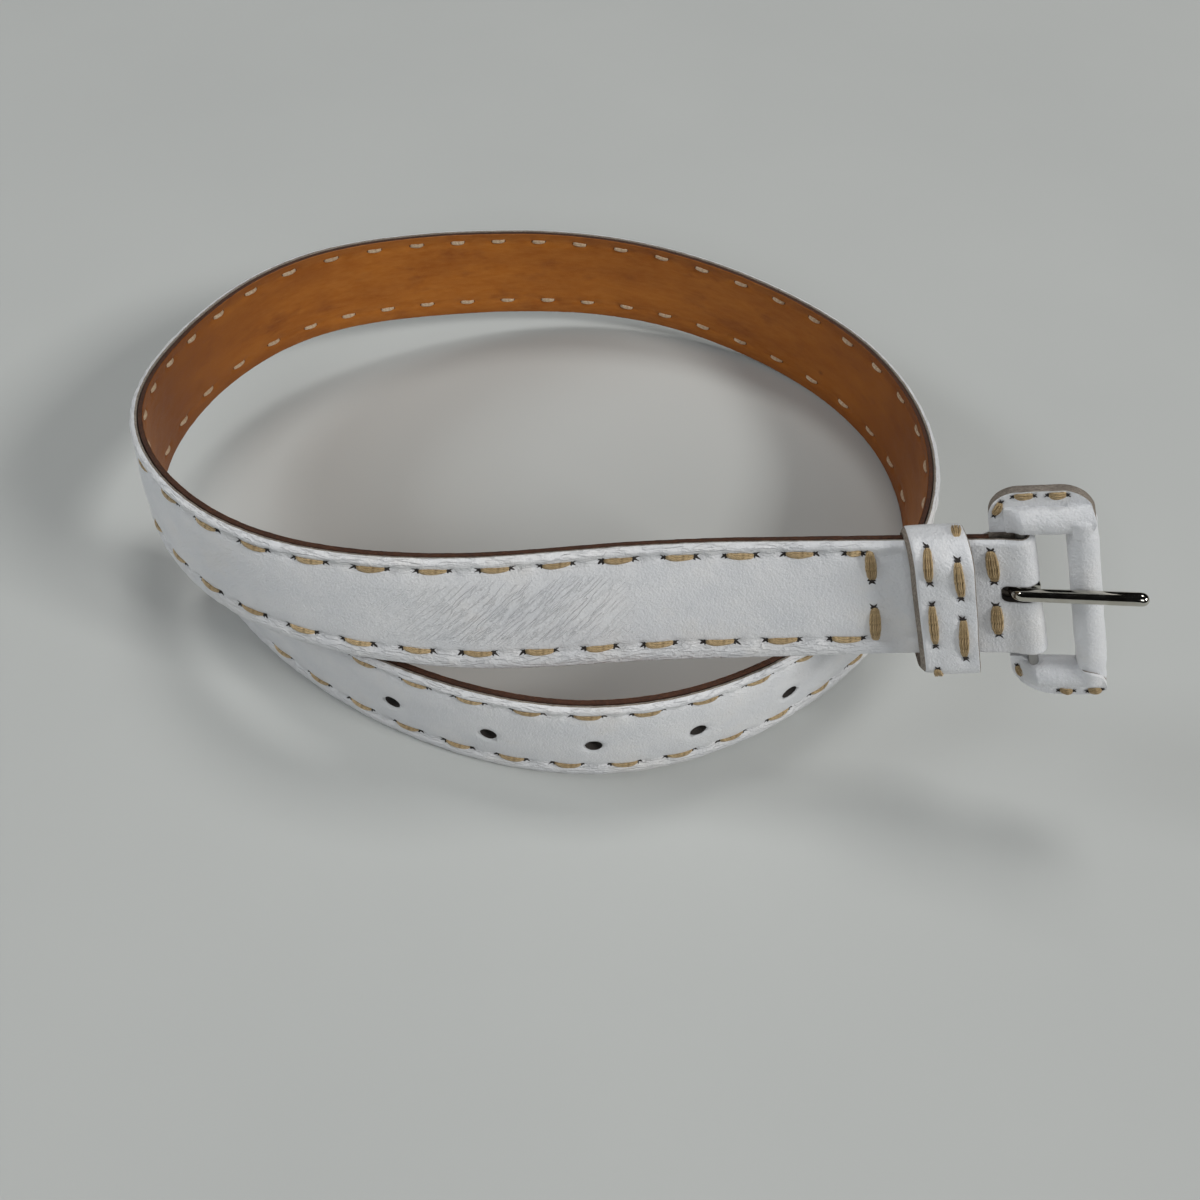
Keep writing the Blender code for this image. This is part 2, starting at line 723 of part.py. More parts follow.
# ------------------------------------------------------------------ assembly

BUCKLE_FRAME = PATH.frame(HEEL_BAR, -FRAME_DROP, BAR_DEPTH)
KEEPER_FRAME = PATH.frame(KEEPER_PLACE, 0, 0)


def parent_to(pivot_name, matrix, children):
    """Hangs the pieces on an empty that stands on their joint's axis."""
    pivot = bpy.data.objects.new(pivot_name, None)
    PARTS.objects.link(pivot)
    pivot.matrix_world = matrix
    bpy.context.view_layer.update()
    for child in children:
        world = child.matrix_world.copy()
        child.parent = pivot
        child.matrix_parent_inverse = matrix.inverted()
        child.matrix_world = world
    return pivot


def build():
    strap = outer_leather()
    inside = lining()
    belt_holes, cross_holes = belt_hole_cutter(), cross_hole_cutter()
    for layer in (strap, inside):
        cut(layer, belt_holes)
        cut(layer, cross_holes)
    cut(strap, slot_cutter())
    row_thread("upper_row_thread", UPPER_ROW)
    row_thread("lower_row_thread", LOWER_ROW)
    for place, (s, *ends) in CROSS_STITCHES.items():
        cross_thread(f"cross_thread_{place}", s, ends)

    frame = add_object("buckle_frame", frame_curve("buckle_frame", WIRE_RADIUS), "steel", BUCKLE_FRAME)
    bore_mesh = mesh_of_curve("frame_clearance", frame_curve("frame_clearance", WIRE_RADIUS + GAP))
    clearance = add_object("frame_clearance", bore_mesh, None, BUCKLE_FRAME, CUTTERS)
    bar_room = bar_tube("bar_cover_clearance", END_BAR_RADIUS + GAP, END_COVER_HALF + GAP, None, CUTTERS)
    buckle = [frame, end_bar_cover(clearance)]
    for level, side in (("upper", 1), ("lower", -1)):
        cover = side_cover(level, side, (clearance, bar_room))
        cut(cover, flange_hole_cutter(level, side))
        buckle += [cover, flange_thread(level, side)]
    buckle_pivot = parent_to("buckle_pivot", BUCKLE_FRAME, buckle)
    prong_pivot = parent_to("prong_pivot", BUCKLE_FRAME, [prong()])
    prong_pivot.parent = buckle_pivot
    prong_pivot.matrix_parent_inverse = BUCKLE_FRAME.inverted()

    parent_to("keeper_slide", KEEPER_FRAME, [keeper(), keeper_thread("left"), keeper_thread("right")])


build()
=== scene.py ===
"""Looks of the stitched leather waist belt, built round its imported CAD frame.

Lengths are in millimetres until a mesh is made.  The strap has its own coordinates: s runs from the fold
towards the tip, u runs across it towards its upper edge, and n runs out of the white face.
"""

import json
import math

import bmesh
import bpy
import numpy as np
from mathutils import Matrix, Vector

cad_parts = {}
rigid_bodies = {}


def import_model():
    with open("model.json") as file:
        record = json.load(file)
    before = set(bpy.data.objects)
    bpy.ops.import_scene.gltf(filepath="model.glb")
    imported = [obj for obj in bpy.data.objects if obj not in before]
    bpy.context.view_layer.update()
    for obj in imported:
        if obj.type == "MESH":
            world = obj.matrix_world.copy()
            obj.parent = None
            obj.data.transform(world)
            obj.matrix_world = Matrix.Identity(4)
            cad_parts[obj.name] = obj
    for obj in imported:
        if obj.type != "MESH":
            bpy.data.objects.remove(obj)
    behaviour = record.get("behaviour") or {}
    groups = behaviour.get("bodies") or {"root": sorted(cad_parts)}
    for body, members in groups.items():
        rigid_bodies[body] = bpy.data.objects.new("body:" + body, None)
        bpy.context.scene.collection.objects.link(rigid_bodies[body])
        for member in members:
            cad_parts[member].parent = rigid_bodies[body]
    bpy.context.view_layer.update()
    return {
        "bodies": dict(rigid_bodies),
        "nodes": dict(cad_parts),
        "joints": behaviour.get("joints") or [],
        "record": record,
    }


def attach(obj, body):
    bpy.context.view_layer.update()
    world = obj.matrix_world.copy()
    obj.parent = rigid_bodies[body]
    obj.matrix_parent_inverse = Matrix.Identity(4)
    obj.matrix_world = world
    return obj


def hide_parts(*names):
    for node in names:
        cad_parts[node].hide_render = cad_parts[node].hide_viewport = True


MM = 0.001
SHARP_ANGLE = math.radians(50)

# ------------------------------------------------------------------ sizes shared with the CAD part

START_X, START_Y, START_HEADING = 102.7, -72.3, 168.0
STRETCHES = (
    (55, 11), (55, 12), (55, -21), (55, -42), (115, -95), (55, -17),
    (115, -53), (55, -44), (60, -49), (55, -24), (55, -36), (105, -40),
)
POSTURE = (
    (-55, 74.0, -30), (0, 48.5, -8), (55, 34.6, -20), (110, 34.0, -20), (165, 34.5, -8), (225, 32.0, -5),
    (280, 19.0, -7), (335, 18.0, 0), (395, 8.5, 5), (450, 5.0, 0), (505, 0.0, 0), (835, 0.0, 0),
)
BEND_BLEND = 38.0
RUN_IN = 56.0

STRAP_WIDTH = 32.0
OUTER_THICK = 1.6
LINING_THICK = 1.3
GAP = 0.3
LINING_START = 9.6
FOLD_RETURN = 38.5
RETURN_SHARE = 0.88
NARROW_FROM = 12.0
TIP_LENGTH = 18.0
TIP_SIZE = 0.30

STITCH_PITCH = 14.0
STITCH_LENGTH = 8.4
UPPER_ROW, LOWER_ROW = 13.0, -11.0
FIRST_HOLES = 37.5
FIRST_STITCH = 39.3
ROW_STAGGER = 2.3
STITCHES = 55
FIRST_STITCH_EXTRA = 1.4

HOLE_DIAMETER = 3.6
HOLE_SPACING = 25.4
FIRST_HOLE = 656.6
HOLES = 5

CROSS_STITCHES = ((9.3, 13.6, 5.4), (9.3, -1.6, -9.8), (35.1, 13.6, 6.2), (35.1, -1.4, -11.0))

WIRE_RADIUS = 1.1
HEEL_BAR = 3.0
BAR_SPACING = 11.8
FRAME_DROP = 1.7
WINDOW_HALF = 18.4
COVER_RADIUS = 3.2
END_BAR_RADIUS = 3.1
END_COVER_HALF = 24.2
SLEEVE_OVERLAP = 2.0
FLANGE_WIDTH = 4.0
FLANGE_THICK = 2.2
FLANGE_FRONT = -0.2
RIM_SHAPES = {"upper": (6.0, 6.4, 6.4), "lower": (4.8, 9.0, 3.0)}
RIM_STITCH_INSET = 1.3
RIM_FOOT = {"upper": 18.2, "lower": 16.9}
RIM_HOLES = {"upper": (0.4, 4.0, 7.0, 10.8, 13.6, 17.0), "lower": (0.3, 3.6, 12.7, 15.5, 18.6, 21.4)}

PRONG_RADIUS = 1.45
PRONG_PLACE = 1.9
PRONG_SKEW = 5.0
PRONG_REACH = 24.0
PRONG_EYE_THINNER = 0.62
SLOT_WIDTH = 4.4
SLOT_REACH = 4.9

KEEPER_PLACE = 19.6
KEEPER_WIDTH = 12.8
KEEPER_THICK = 1.4
KEEPER_HALF = 17.6
KEEPER_DROP = 1.1
KEEPER_FRONT = 5.6
KEEPER_BACK = -4.2
KEEPER_FRONT_CORNER, KEEPER_BACK_CORNER = 4.6, 3.4
KEEPER_SLANT = 0.20
KEEPER_ROWS = {"left": 2.8, "right": -3.2}
KEEPER_STITCHES = {"left": ((18.2, 9.7), (3.5, -8.3)), "right": ((15.0, 5.3), (-0.6, -12.0))}
KEEPER_END_STITCH = {"left": (-15.5, -21.5), "right": (26.0, 20.0)}

BACK_FACE = -GAP - LINING_THICK
RETURN_MIDDLE = BACK_FACE - GAP - OUTER_THICK / 2
RETURN_FACE = RETURN_MIDDLE - OUTER_THICK / 2
BAR_DEPTH = (BACK_FACE - GAP) / 2
FOLD_RADIUS = WIRE_RADIUS + GAP + OUTER_THICK / 2
ROW_MIDDLE = (UPPER_ROW + LOWER_ROW) / 2
ROW_HALF = (UPPER_ROW - LOWER_ROW) / 2
COVER_MIDDLE = WINDOW_HALF + COVER_RADIUS
RIM_TOP = WINDOW_HALF + 2 * COVER_RADIUS + FLANGE_WIDTH
RIM_SEAM = FLANGE_FRONT - FLANGE_THICK / 2
SLEEVE_END = 0.4 - BAR_SPACING - END_BAR_RADIUS


# ------------------------------------------------------------------ strap path


def spread(values):
    """A moving average, which keeps the end values level with their neighbours."""
    count = int(BEND_BLEND) | 1
    padded = np.pad(values, count // 2, mode="edge")
    return np.convolve(padded, np.ones(count) / count, "valid")


class StrapPath:
    """The strap's middle line, with its directions, at every millimetre."""

    def __init__(self):
        lengths = np.array([length for length, _ in STRETCHES], float)
        turns = np.array([turn for _, turn in STRETCHES], float)
        self.length = float(lengths.sum())
        self.s = np.arange(-RUN_IN, self.length + 0.5)
        stretch = np.searchsorted(np.cumsum(lengths), self.s, side="right")
        bend = spread((turns / lengths)[np.clip(stretch, 0, len(lengths) - 1)])
        fold = int(RUN_IN)
        turned = np.cumsum(bend) - np.cumsum(bend)[fold]
        heading = np.radians(START_HEADING + turned)
        places, rises, leans = np.array(POSTURE, float).T
        rise = spread(spread(np.interp(self.s, places, rises)))
        lean = np.radians(spread(spread(np.interp(self.s, places, leans))))
        slope = np.gradient(rise + STRAP_WIDTH / 2 * np.cos(lean))
        level = np.sqrt(1 - slope**2)
        along = np.stack([np.cos(heading) * level, np.sin(heading) * level, slope], 1)
        outward = np.stack([-np.sin(heading), np.cos(heading), 0 * heading], 1)
        upward = np.cross(along, outward)
        self.along = along
        self.across = upward * np.cos(lean)[:, None] + outward * np.sin(lean)[:, None]
        self.out = outward * np.cos(lean)[:, None] - upward * np.sin(lean)[:, None]
        plan = np.cumsum(along[:, :2], axis=0)
        plan += np.array([START_X, START_Y]) - plan[fold]
        height = rise + STRAP_WIDTH / 2 * self.across[:, 2]
        self.middle = np.column_stack([plan, height])

    def rows(self, table, s):
        return np.stack([np.interp(s, self.s, table[:, k]) for k in range(3)], -1)

    def place(self, s, u, n):
        """World positions, in millimetres, of points given along, across and out of the strap."""
        s, u, n = np.broadcast_arrays(np.asarray(s, float), np.asarray(u, float), np.asarray(n, float))
        out = self.rows(self.out, s) * n[..., None]
        return self.rows(self.middle, s) + self.rows(self.across, s) * u[..., None] + out

    def frame(self, s, u, n):
        """Axes and origin of a local space whose x, y and z run along, out of and across the strap."""
        x = Vector(self.rows(self.along, s)).normalized()
        z = Vector(self.rows(self.across, s))
        z = (z - x * z.dot(x)).normalized()
        turn = Matrix((x, z.cross(x), z)).transposed().to_4x4()
        return Matrix.Translation(Vector(self.place(s, u, n))) @ turn


PATH = StrapPath()
BUCKLE_FRAME = PATH.frame(HEEL_BAR, -FRAME_DROP, BAR_DEPTH)
KEEPER_FRAME = PATH.frame(KEEPER_PLACE, 0, 0)


def through(matrix, points):
    """Points taken out of a local space into the world, in millimetres."""
    table = np.array(matrix)
    return points @ table[:3, :3].T + table[:3, 3]


def stitch_holes():
    """(s, stagger) of every hole along the line between the rows; the first holes are level."""
    holes = []
    for k in range(STITCHES):
        middle = FIRST_STITCH + k * STITCH_PITCH
        holes += [(middle - STITCH_LENGTH / 2, 1.0), (middle + STITCH_LENGTH / 2, 1.0)]
    return [(FIRST_HOLES, 0.0)] + holes[1:]


def row_holes(u):
    shift = -ROW_STAGGER * (u - ROW_MIDDLE) / ROW_HALF
    return np.array([s + share * shift for s, share in stitch_holes()])


ROW_HOLES = {UPPER_ROW: row_holes(UPPER_ROW), LOWER_ROW: row_holes(LOWER_ROW)}


# ------------------------------------------------------------------ noise


def noise(x, y, seed):
    """Smooth value noise from -1 to 1, with one feature to the unit; it repeats after 64."""
    table = np.random.RandomState(seed).rand(64, 64)
    x, y = np.broadcast_arrays(np.asarray(x, float), np.asarray(y, float))
    i, j = np.floor(x).astype(int), np.floor(y).astype(int)
    fx, fy = x - i, y - j
    fx, fy = fx * fx * (3 - 2 * fx), fy * fy * (3 - 2 * fy)
    a, b = table[i % 64, j % 64], table[(i + 1) % 64, j % 64]
    c, d = table[i % 64, (j + 1) % 64], table[(i + 1) % 64, (j + 1) % 64]
    return 2 * ((a * (1 - fx) + b * fx) * (1 - fy) + (c * (1 - fx) + d * fx) * fy) - 1


def bumps(x, y, *layers):
    """Layers of noise, each given as (height, length of a feature in x, its length in y, seed)."""
    return sum(height * noise(x / long, y / wide, seed) for height, long, wide, seed in layers)


def hump(x, middle, width):
    return np.exp(-((x - middle) ** 2) / (2 * width**2))


def smooth_step(x, low, high):
    t = np.clip((x - low) / (high - low), 0, 1)
    return t * t * (3 - 2 * t)


def unit(rows):
    return rows / np.linalg.norm(rows, axis=1)[:, None]


# ------------------------------------------------------------------ meshes


def add_object(name, data):
    item = bpy.data.objects.new(name, data)
    bpy.context.scene.collection.objects.link(item)
    return item


def sharpen(item):
    item.data.set_sharp_from_angle(angle=SHARP_ANGLE)


def make_object(name, points, faces, grain, slots, materials, tint=None):
    """A mesh from points in millimetres; grain holds each point's own texture coordinates."""
    mesh = bpy.data.meshes.new(name)
    mesh.from_pydata((points * MM).tolist(), [], faces)
    for material in materials:
        mesh.materials.append(material)
    mesh.polygons.foreach_set("material_index", np.asarray(slots, np.int32))
    layer = mesh.attributes.new("grain", "FLOAT_VECTOR", "POINT")
    layer.data.foreach_set("vector", np.asarray(grain, np.float32).ravel())
    if tint is not None:
        layer = mesh.attributes.new("tint", "FLOAT", "POINT")
        layer.data.foreach_set("value", np.asarray(tint, np.float32))
    mesh.update()
    mesh.shade_smooth()
    item = add_object(name, mesh)
    sharpen(item)
    return item


def outward_object(*details):
    """An object like make_object's, with every face turned outward."""
    item = make_object(*details)
    work = bmesh.new()
    work.from_mesh(item.data)
    bmesh.ops.recalc_face_normals(work, faces=work.faces)
    work.to_mesh(item.data)
    work.free()
    return item


def ring_faces(rings, count, closed=False):
    """Quads between rings of count points each; closed joins the last ring to the first."""
    i, j = np.meshgrid(np.arange(rings if closed else rings - 1), np.arange(count), indexing="ij")
    i2, j2 = (i + 1) % rings, (j + 1) % count
    quads = np.stack([i * count + j, i2 * count + j, i2 * count + j2, i * count + j2], -1)
    return quads.reshape(-1, 4).tolist()


def capped_faces(rings, count):
    """The quads between rings, then a face over each end."""
    last = (rings - 1) * count
    return ring_faces(rings, count) + [list(range(count))[::-1], list(range(last, last + count))]


class Pile:
    """Collects many small pieces into one mesh."""

    def __init__(self):
        self.points, self.grain, self.tint, self.faces, self.slots = [], [], [], [], []
        self.count = 0

    def add(self, points, grain, faces, tint=0.0, slot=0):
        self.points.append(points)
        self.grain.append(grain)
        self.tint.append(np.full(len(points), tint))
        self.faces += [[self.count + k for k in face] for face in faces]
        self.slots += [slot] * len(faces)
        self.count += len(points)

    def tube(self, line, wide, high, across, up, tint=0.0, lobes=1, twist=1.0, depth=0.1, sides=20, slot=0):
        """A soft cord along a line: half sizes wide and high, along the directions across and up."""
        count = len(line)
        angle = np.linspace(0, 2 * np.pi, sides, endpoint=False)
        step = np.linalg.norm(np.diff(line, axis=0), axis=1)
        length = np.concatenate([[0], np.cumsum(step)])
        turn = length[:, None] * twist
        ridge = 1 + depth * np.cos(lobes * angle[None, :] + turn)
        a = (wide[:, None] * np.cos(angle)[None, :] * ridge)[..., None]
        b = (high[:, None] * np.sin(angle)[None, :] * ridge)[..., None]
        ring = line[:, None, :] + a * across[:, None, :] + b * up[:, None, :]
        swirl = np.broadcast_to(angle[None, :], (count, sides)) + turn / lobes
        along = np.broadcast_to(length[:, None], (count, sides))
        grain = np.stack([along, np.cos(swirl) * 1.5, np.sin(swirl) * 1.5], -1)
        self.add(ring.reshape(-1, 3), grain.reshape(-1, 3), capped_faces(count, sides), tint, slot)

    def make(self, name, materials):
        points, grain, tint = (np.concatenate(part) for part in (self.points, self.grain, self.tint))
        return make_object(name, points, self.faces, grain, self.slots, materials, tint)


# ------------------------------------------------------------------ materials


class Nodes:
    """Short names for building the nodes of one material, or of the world."""

    def __init__(self, name, kind=bpy.data.materials):
        self.holder = kind.new(name)
        self.holder.use_nodes = True
        self.tree = self.holder.node_tree

    def feed(self, socket, value):
        """Links a socket to another node's socket, or gives it a value; a colour has three numbers."""
        if isinstance(value, bpy.types.NodeSocket):
            self.tree.links.new(value, socket)
        else:
            socket.default_value = (*value, 1.0) if socket.type == "RGBA" else value

    def node(self, kind, inputs=None, **settings):
        item = self.tree.nodes.new(kind)
        for key, value in settings.items():
            setattr(item, key, value)
        for key, value in (inputs or {}).items():
            self.feed(item.inputs[key], value)
        return item

    def scaled(self, vector, scale):
        return self.node("ShaderNodeVectorMath", {0: vector, 1: scale}, operation="MULTIPLY").outputs[0]

    def grain(self, scale=(1, 1, 1)):
        return self.scaled(self.node("ShaderNodeAttribute", attribute_name="grain").outputs["Vector"], scale)

    def own_place(self):
        return self.node("ShaderNodeTexCoord").outputs["Object"]

    def axis(self, vector, k):
        return self.node("ShaderNodeSeparateXYZ", {0: vector}).outputs[k]

    def noise(self, vector, scale, detail=2.0, rough=0.5):
        inputs = {"Vector": vector, "Scale": scale, "Detail": detail, "Roughness": rough}
        return self.node("ShaderNodeTexNoise", inputs).outputs["Fac"]

    def cells(self, vector, scale):
        return self.node("ShaderNodeTexVoronoi", {"Vector": vector, "Scale": scale}).outputs["Distance"]

    def math(self, operation, a, b=0.0, clamp=False):
        return self.node("ShaderNodeMath", {0: a, 1: b}, operation=operation, use_clamp=clamp).outputs[0]

    def product(self, first, *others):
        for other in others:
            first = self.math("MULTIPLY", first, other)
        return first

    def total(self, *pairs):
        """The sum of some values, each given with its weight."""
        parts = [self.math("MULTIPLY", value, weight) for value, weight in pairs]
        result = parts[0]
        for part in parts[1:]:
            result = self.math("ADD", result, part)
        return result

    def away(self, value, middle):
        """How far a value is from a middle one."""
        return self.math("ABSOLUTE", self.math("SUBTRACT", value, middle))

    def ramp(self, value, low, high, start=0.0, end=1.0):
        inputs = {"Value": value, "From Min": low, "From Max": high, "To Min": start, "To Max": end}
        return self.node("ShaderNodeMapRange", inputs).outputs[0]

    def mix(self, share, a, b):
        """Colour a turning into colour b as share goes from 0 to 1."""
        return self.node("ShaderNodeMix", {0: share, 6: a, 7: b}, data_type="RGBA").outputs[2]

    def bump(self, height, distance, strength=1.0):
        inputs = {"Height": height, "Distance": distance * MM, "Strength": strength}
        return self.node("ShaderNodeBump", inputs).outputs[0]

    def finish(self, **inputs):
        shader = self.tree.nodes["Principled BSDF"]
        for key, value in inputs.items():
            self.feed(shader.inputs[key.replace("_", " ")], value)
        return self.holder


def ridges(n, vector, scale, sharp, detail=2.0):
    """Thin raised lines where the noise crosses its middle value."""
    away = n.away(n.noise(vector, scale, detail, 0.5), 0.5)
    return n.math("POWER", n.math("SUBTRACT", 1.0, n.math("MULTIPLY", away, 4.0), clamp=True), sharp)


CREASES_START, CREASES_WEAKEN, CREASES_END = (82.0, 100.0), (128.0, 150.0), (180.0, 290.0)
CREASES_INSIDE = (7.0, 11.0)
CREASE_TURN = math.radians(-44)
CREASE_STRETCH = (0.85, 0.11, 0.3)
MARGIN_FROM = (9.8, 12.6)
WRINKLES_START = (26.0, 46.0)


def white_leather():
    """Painted white leather: pebbled, creased where bent, with a soft sheen, handling marks and painted shade
    on its margins.
    """
    n = Nodes("white_leather_look")
    place = n.grain()
    s, u = n.axis(place, 0), n.axis(place, 1)
    pebble = n.cells(place, 1.6)
    fine = n.noise(place, 2.6, 4.0, 0.6)
    soft = n.noise(n.grain((0.8, 0.5, 0.8)), 0.75, 4.0, 0.55)
    net = ridges(n, n.grain((0.9, 0.7, 1.0)), 0.85, 3.0)
    turned = n.node("ShaderNodeVectorRotate", {"Vector": place, "Angle": CREASE_TURN}, rotation_type="Z_AXIS")
    crease = ridges(n, n.scaled(turned.outputs[0], CREASE_STRETCH), 1.0, 5.0, 3.0)
    middle = n.away(u, ROW_MIDDLE)
    bent = n.product(n.ramp(s, *CREASES_START), n.ramp(s, *CREASES_WEAKEN, 1.0, 0.22),
                     n.ramp(s, *CREASES_END, 1.0, 0.0), n.ramp(middle, *CREASES_INSIDE, 1.0, 0.0))
    margin = n.product(n.ramp(middle, *MARGIN_FROM), n.ramp(s, *WRINKLES_START))
    pulled = ridges(n, n.grain((0.22, 0.85, 1.0)), 1.0, 4.0, 2.0)
    height = n.total((pebble, 0.30), (fine, 0.60), (soft, 0.62), (net, 0.13),
                     (n.product(crease, bent), 0.85), (n.product(pulled, margin), 0.85))
    broad = n.noise(place, 0.09, 3.0, 0.55)
    marks = n.ramp(n.noise(place, 0.045, 5.0, 0.65), 0.55, 0.78)
    pores = n.ramp(n.cells(place, 0.8), 0.0, 0.10, 1.0, 0.0)
    clean = n.mix(n.ramp(broad, 0.3, 0.7), (0.71, 0.725, 0.75), (0.79, 0.795, 0.805))
    wear_and_margin_shade = n.mix(n.product(marks, 0.26), clean, (0.66, 0.60, 0.50))
    # Painted shade: the wrinkled margins outside the stitch rows are greyed a little.
    wear_and_margin_shade = n.mix(n.product(margin, 0.10), wear_and_margin_shade, (0.62, 0.60, 0.57))
    colour = n.mix(n.product(pores, 0.16), wear_and_margin_shade, (0.45, 0.42, 0.38))
    sheen = n.total((n.noise(place, 0.5, 3.0), 1.0), (fine, 0.4))
    return n.finish(Base_Color=colour, Roughness=n.ramp(sheen, 0.4, 1.0, 0.30, 0.48),
                    Normal=n.bump(height, 0.27), Coat_Weight=0.10, Coat_Roughness=0.25)


def raw_edge(name, dark, light):
    """A cut edge: rough fibres in two shades, darker in patches."""
    n = Nodes(name)
    place = n.grain((0.6, 2.2, 2.2))
    fibre = n.noise(place, 2.2, 6.0, 0.7)
    patch = n.noise(n.grain(), 0.25, 3.0)
    shade = n.mix(n.ramp(fibre, 0.35, 0.68), dark, light)
    colour = n.mix(n.ramp(patch, 0.35, 0.75, 0.0, 0.45), shade, dark)
    return n.finish(Base_Color=colour, Roughness=0.85, Normal=n.bump(fibre, 0.30, 0.9))


# Places along the strap, with their reach, where painted shade darkens the lining on the coil's left and
# right inner sides.
SHADED_BENDS = ((265.0, 75.0), (560.0, 80.0))


def tan_leather():
    """Vegetable-tanned lining: warm brown, darker at its rims, with painted shade at two bends, and with
    spots and a fine grain.
    """
    n = Nodes("tan_leather_look")
    place = n.grain()
    s, u = n.axis(place, 0), n.axis(place, 1)
    rim = n.ramp(n.math("ABSOLUTE", u), 11.5, 16.0)
    broad = n.noise(n.grain((0.35, 1.0, 1.0)), 0.10, 4.0, 0.6)
    blotch = n.ramp(n.noise(n.grain((0.5, 1.0, 1.0)), 0.13, 3.0, 0.6), 0.56, 0.74)
    streak = n.noise(n.grain((0.25, 1.0, 1.0)), 0.9, 5.0, 0.65)
    spots = n.ramp(n.cells(place, 0.045), 0.0, 0.055, 1.0, 0.0)
    base = n.mix(n.ramp(broad, 0.3, 0.7), (0.30, 0.085, 0.007), (0.44, 0.145, 0.014))
    base = n.mix(n.product(blotch, 0.75), base, (0.22, 0.058, 0.008))
    base = n.mix(n.product(rim, 0.55), base, (0.17, 0.045, 0.008))
    base = n.mix(n.ramp(streak, 0.35, 0.8, 0.0, 0.30), base, (0.60, 0.27, 0.07))
    base = n.mix(n.product(spots, 0.75), base, (0.10, 0.03, 0.01))
    # Painted shade: the lining is darkened round the two bends where the coil's inner sides face away from
    # the lamps.
    for bend, reach in SHADED_BENDS:
        base = n.mix(n.ramp(n.away(s, bend), 0.0, reach, 0.62, 0.0), base, (0.15, 0.040, 0.004))
    pore = n.noise(place, 2.6, 5.0, 0.65)
    return n.finish(Base_Color=base, Roughness=n.ramp(streak, 0.3, 0.8, 0.42, 0.60),
                    Normal=n.bump(pore, 0.12, 0.8), Specular_IOR_Level=0.28)


def thread_look(name, dark, light, other):
    """Waxed linen thread: lengthwise fibres, each stitch in its own shade between light and other."""
    n = Nodes(name)
    tint = n.node("ShaderNodeAttribute", attribute_name="tint").outputs["Fac"]
    fibre = n.noise(n.grain((0.45, 1.6, 1.6)), 2.0, 5.0, 0.7)
    dirt = n.noise(n.grain(), 0.8, 3.0)
    base = n.mix(n.ramp(fibre, 0.36, 0.56), dark, light)
    base = n.mix(n.product(tint, 0.42), base, other)
    base = n.mix(n.ramp(dirt, 0.52, 0.85, 0.0, 0.5), base, dark)
    rough = n.ramp(fibre, 0.3, 0.7, 0.50, 0.36)
    return n.finish(Base_Color=base, Roughness=rough, Normal=n.bump(fibre, 0.35))


def slit_shade_look():
    """Painted shade for the dark inside of a stitch hole."""
    n = Nodes("stitch_hole_painted_shade")
    shade = n.mix(n.noise(n.grain(), 2.5, 3.0), (0.006, 0.005, 0.005), (0.05, 0.04, 0.035))
    return n.finish(Base_Color=shade, Roughness=0.9)


def nickel():
    """Polished nickel plate with hairline scratches and faint tarnish."""
    n = Nodes("nickel_look")
    place = n.own_place()
    cloud = n.noise(place, 260.0, 3.0)
    scratch = n.noise(n.scaled(place, (900.0, 5000.0, 5000.0)), 1.0, 3.0, 0.7)
    colour = n.mix(n.ramp(cloud, 0.35, 0.7), (0.50, 0.475, 0.415), (0.60, 0.58, 0.53))
    rough = n.ramp(n.math("ADD", cloud, scratch), 0.7, 1.4, 0.06, 0.17)
    return n.finish(Base_Color=colour, Metallic=1.0, Roughness=rough, Normal=n.bump(scratch, 0.008, 0.35))


def steel():
    """The plain wire frame under the buckle's leather."""
    n = Nodes("steel_look")
    cloud = n.noise(n.own_place(), 180.0, 4.0)
    colour = n.mix(cloud, (0.30, 0.29, 0.28), (0.46, 0.45, 0.44))
    return n.finish(Base_Color=colour, Metallic=1.0, Roughness=n.ramp(cloud, 0.3, 0.7, 0.3, 0.5),
                    Normal=n.bump(cloud, 0.03, 0.5))


def floor_look():
    n = Nodes("floor_look")
    colour = n.mix(n.noise(n.own_place(), 6.0, 4.0), (0.47, 0.485, 0.475), (0.53, 0.545, 0.53))
    return n.finish(Base_Color=colour, Roughness=0.75, Specular_IOR_Level=0.25)


WHITE = white_leather()
RAW = raw_edge("white_leather_edge_look", (0.13, 0.105, 0.085), (0.42, 0.37, 0.31))
TAN = tan_leather()
TAN_EDGE = raw_edge("tan_leather_edge_look", (0.025, 0.009, 0.005), (0.12, 0.042, 0.015))
# The walls of the belt holes and the prong slot are nearly black: painted shade for the holes' dark insides.
SHADED_HOLE_WALL = raw_edge("belt_hole_painted_shade", (0.012, 0.010, 0.009), (0.10, 0.085, 0.075))
THREAD = thread_look("thread_look", (0.17, 0.10, 0.036), (0.86, 0.64, 0.35), (0.24, 0.145, 0.055))
PALE_THREAD = thread_look("inner_thread_look", (0.42, 0.27, 0.15), (0.86, 0.70, 0.50), (0.50, 0.34, 0.20))
# Flat dark patches of painted shade stand for the insides of the stitch holes.
SLIT_SHADE = slit_shade_look()
NICKEL = nickel()
STEEL = steel()


# ------------------------------------------------------------------ strap surfaces


FOLDED_GRAIN = 40.0  # keeps the folded end's texture apart from the front's
CROWN_HEIGHT, GROOVE_DEPTH, BACK_GROOVE_DEPTH = 0.62, 0.16, 0.10
BEADS = ((0.34, 14.7, 0.7), (0.44, -13.5, 1.3))  # height, place across and width of each raised margin
HOLE_DIP, HOLE_PULL, BACK_HOLE_DIP = 0.50, 0.13, 0.34
BELT_HOLE_DIP, BACK_BELT_HOLE_DIP = 0.42, 0.15


def nearest_gap(s, holes):
    """Distance along the strap from the nearest hole to each place, below zero before it."""
    k = np.clip(np.searchsorted(holes, s), 1, len(holes) - 1)
    before, after = s - holes[k - 1], s - holes[k]
    return np.where(np.abs(before) < np.abs(after), before, after)


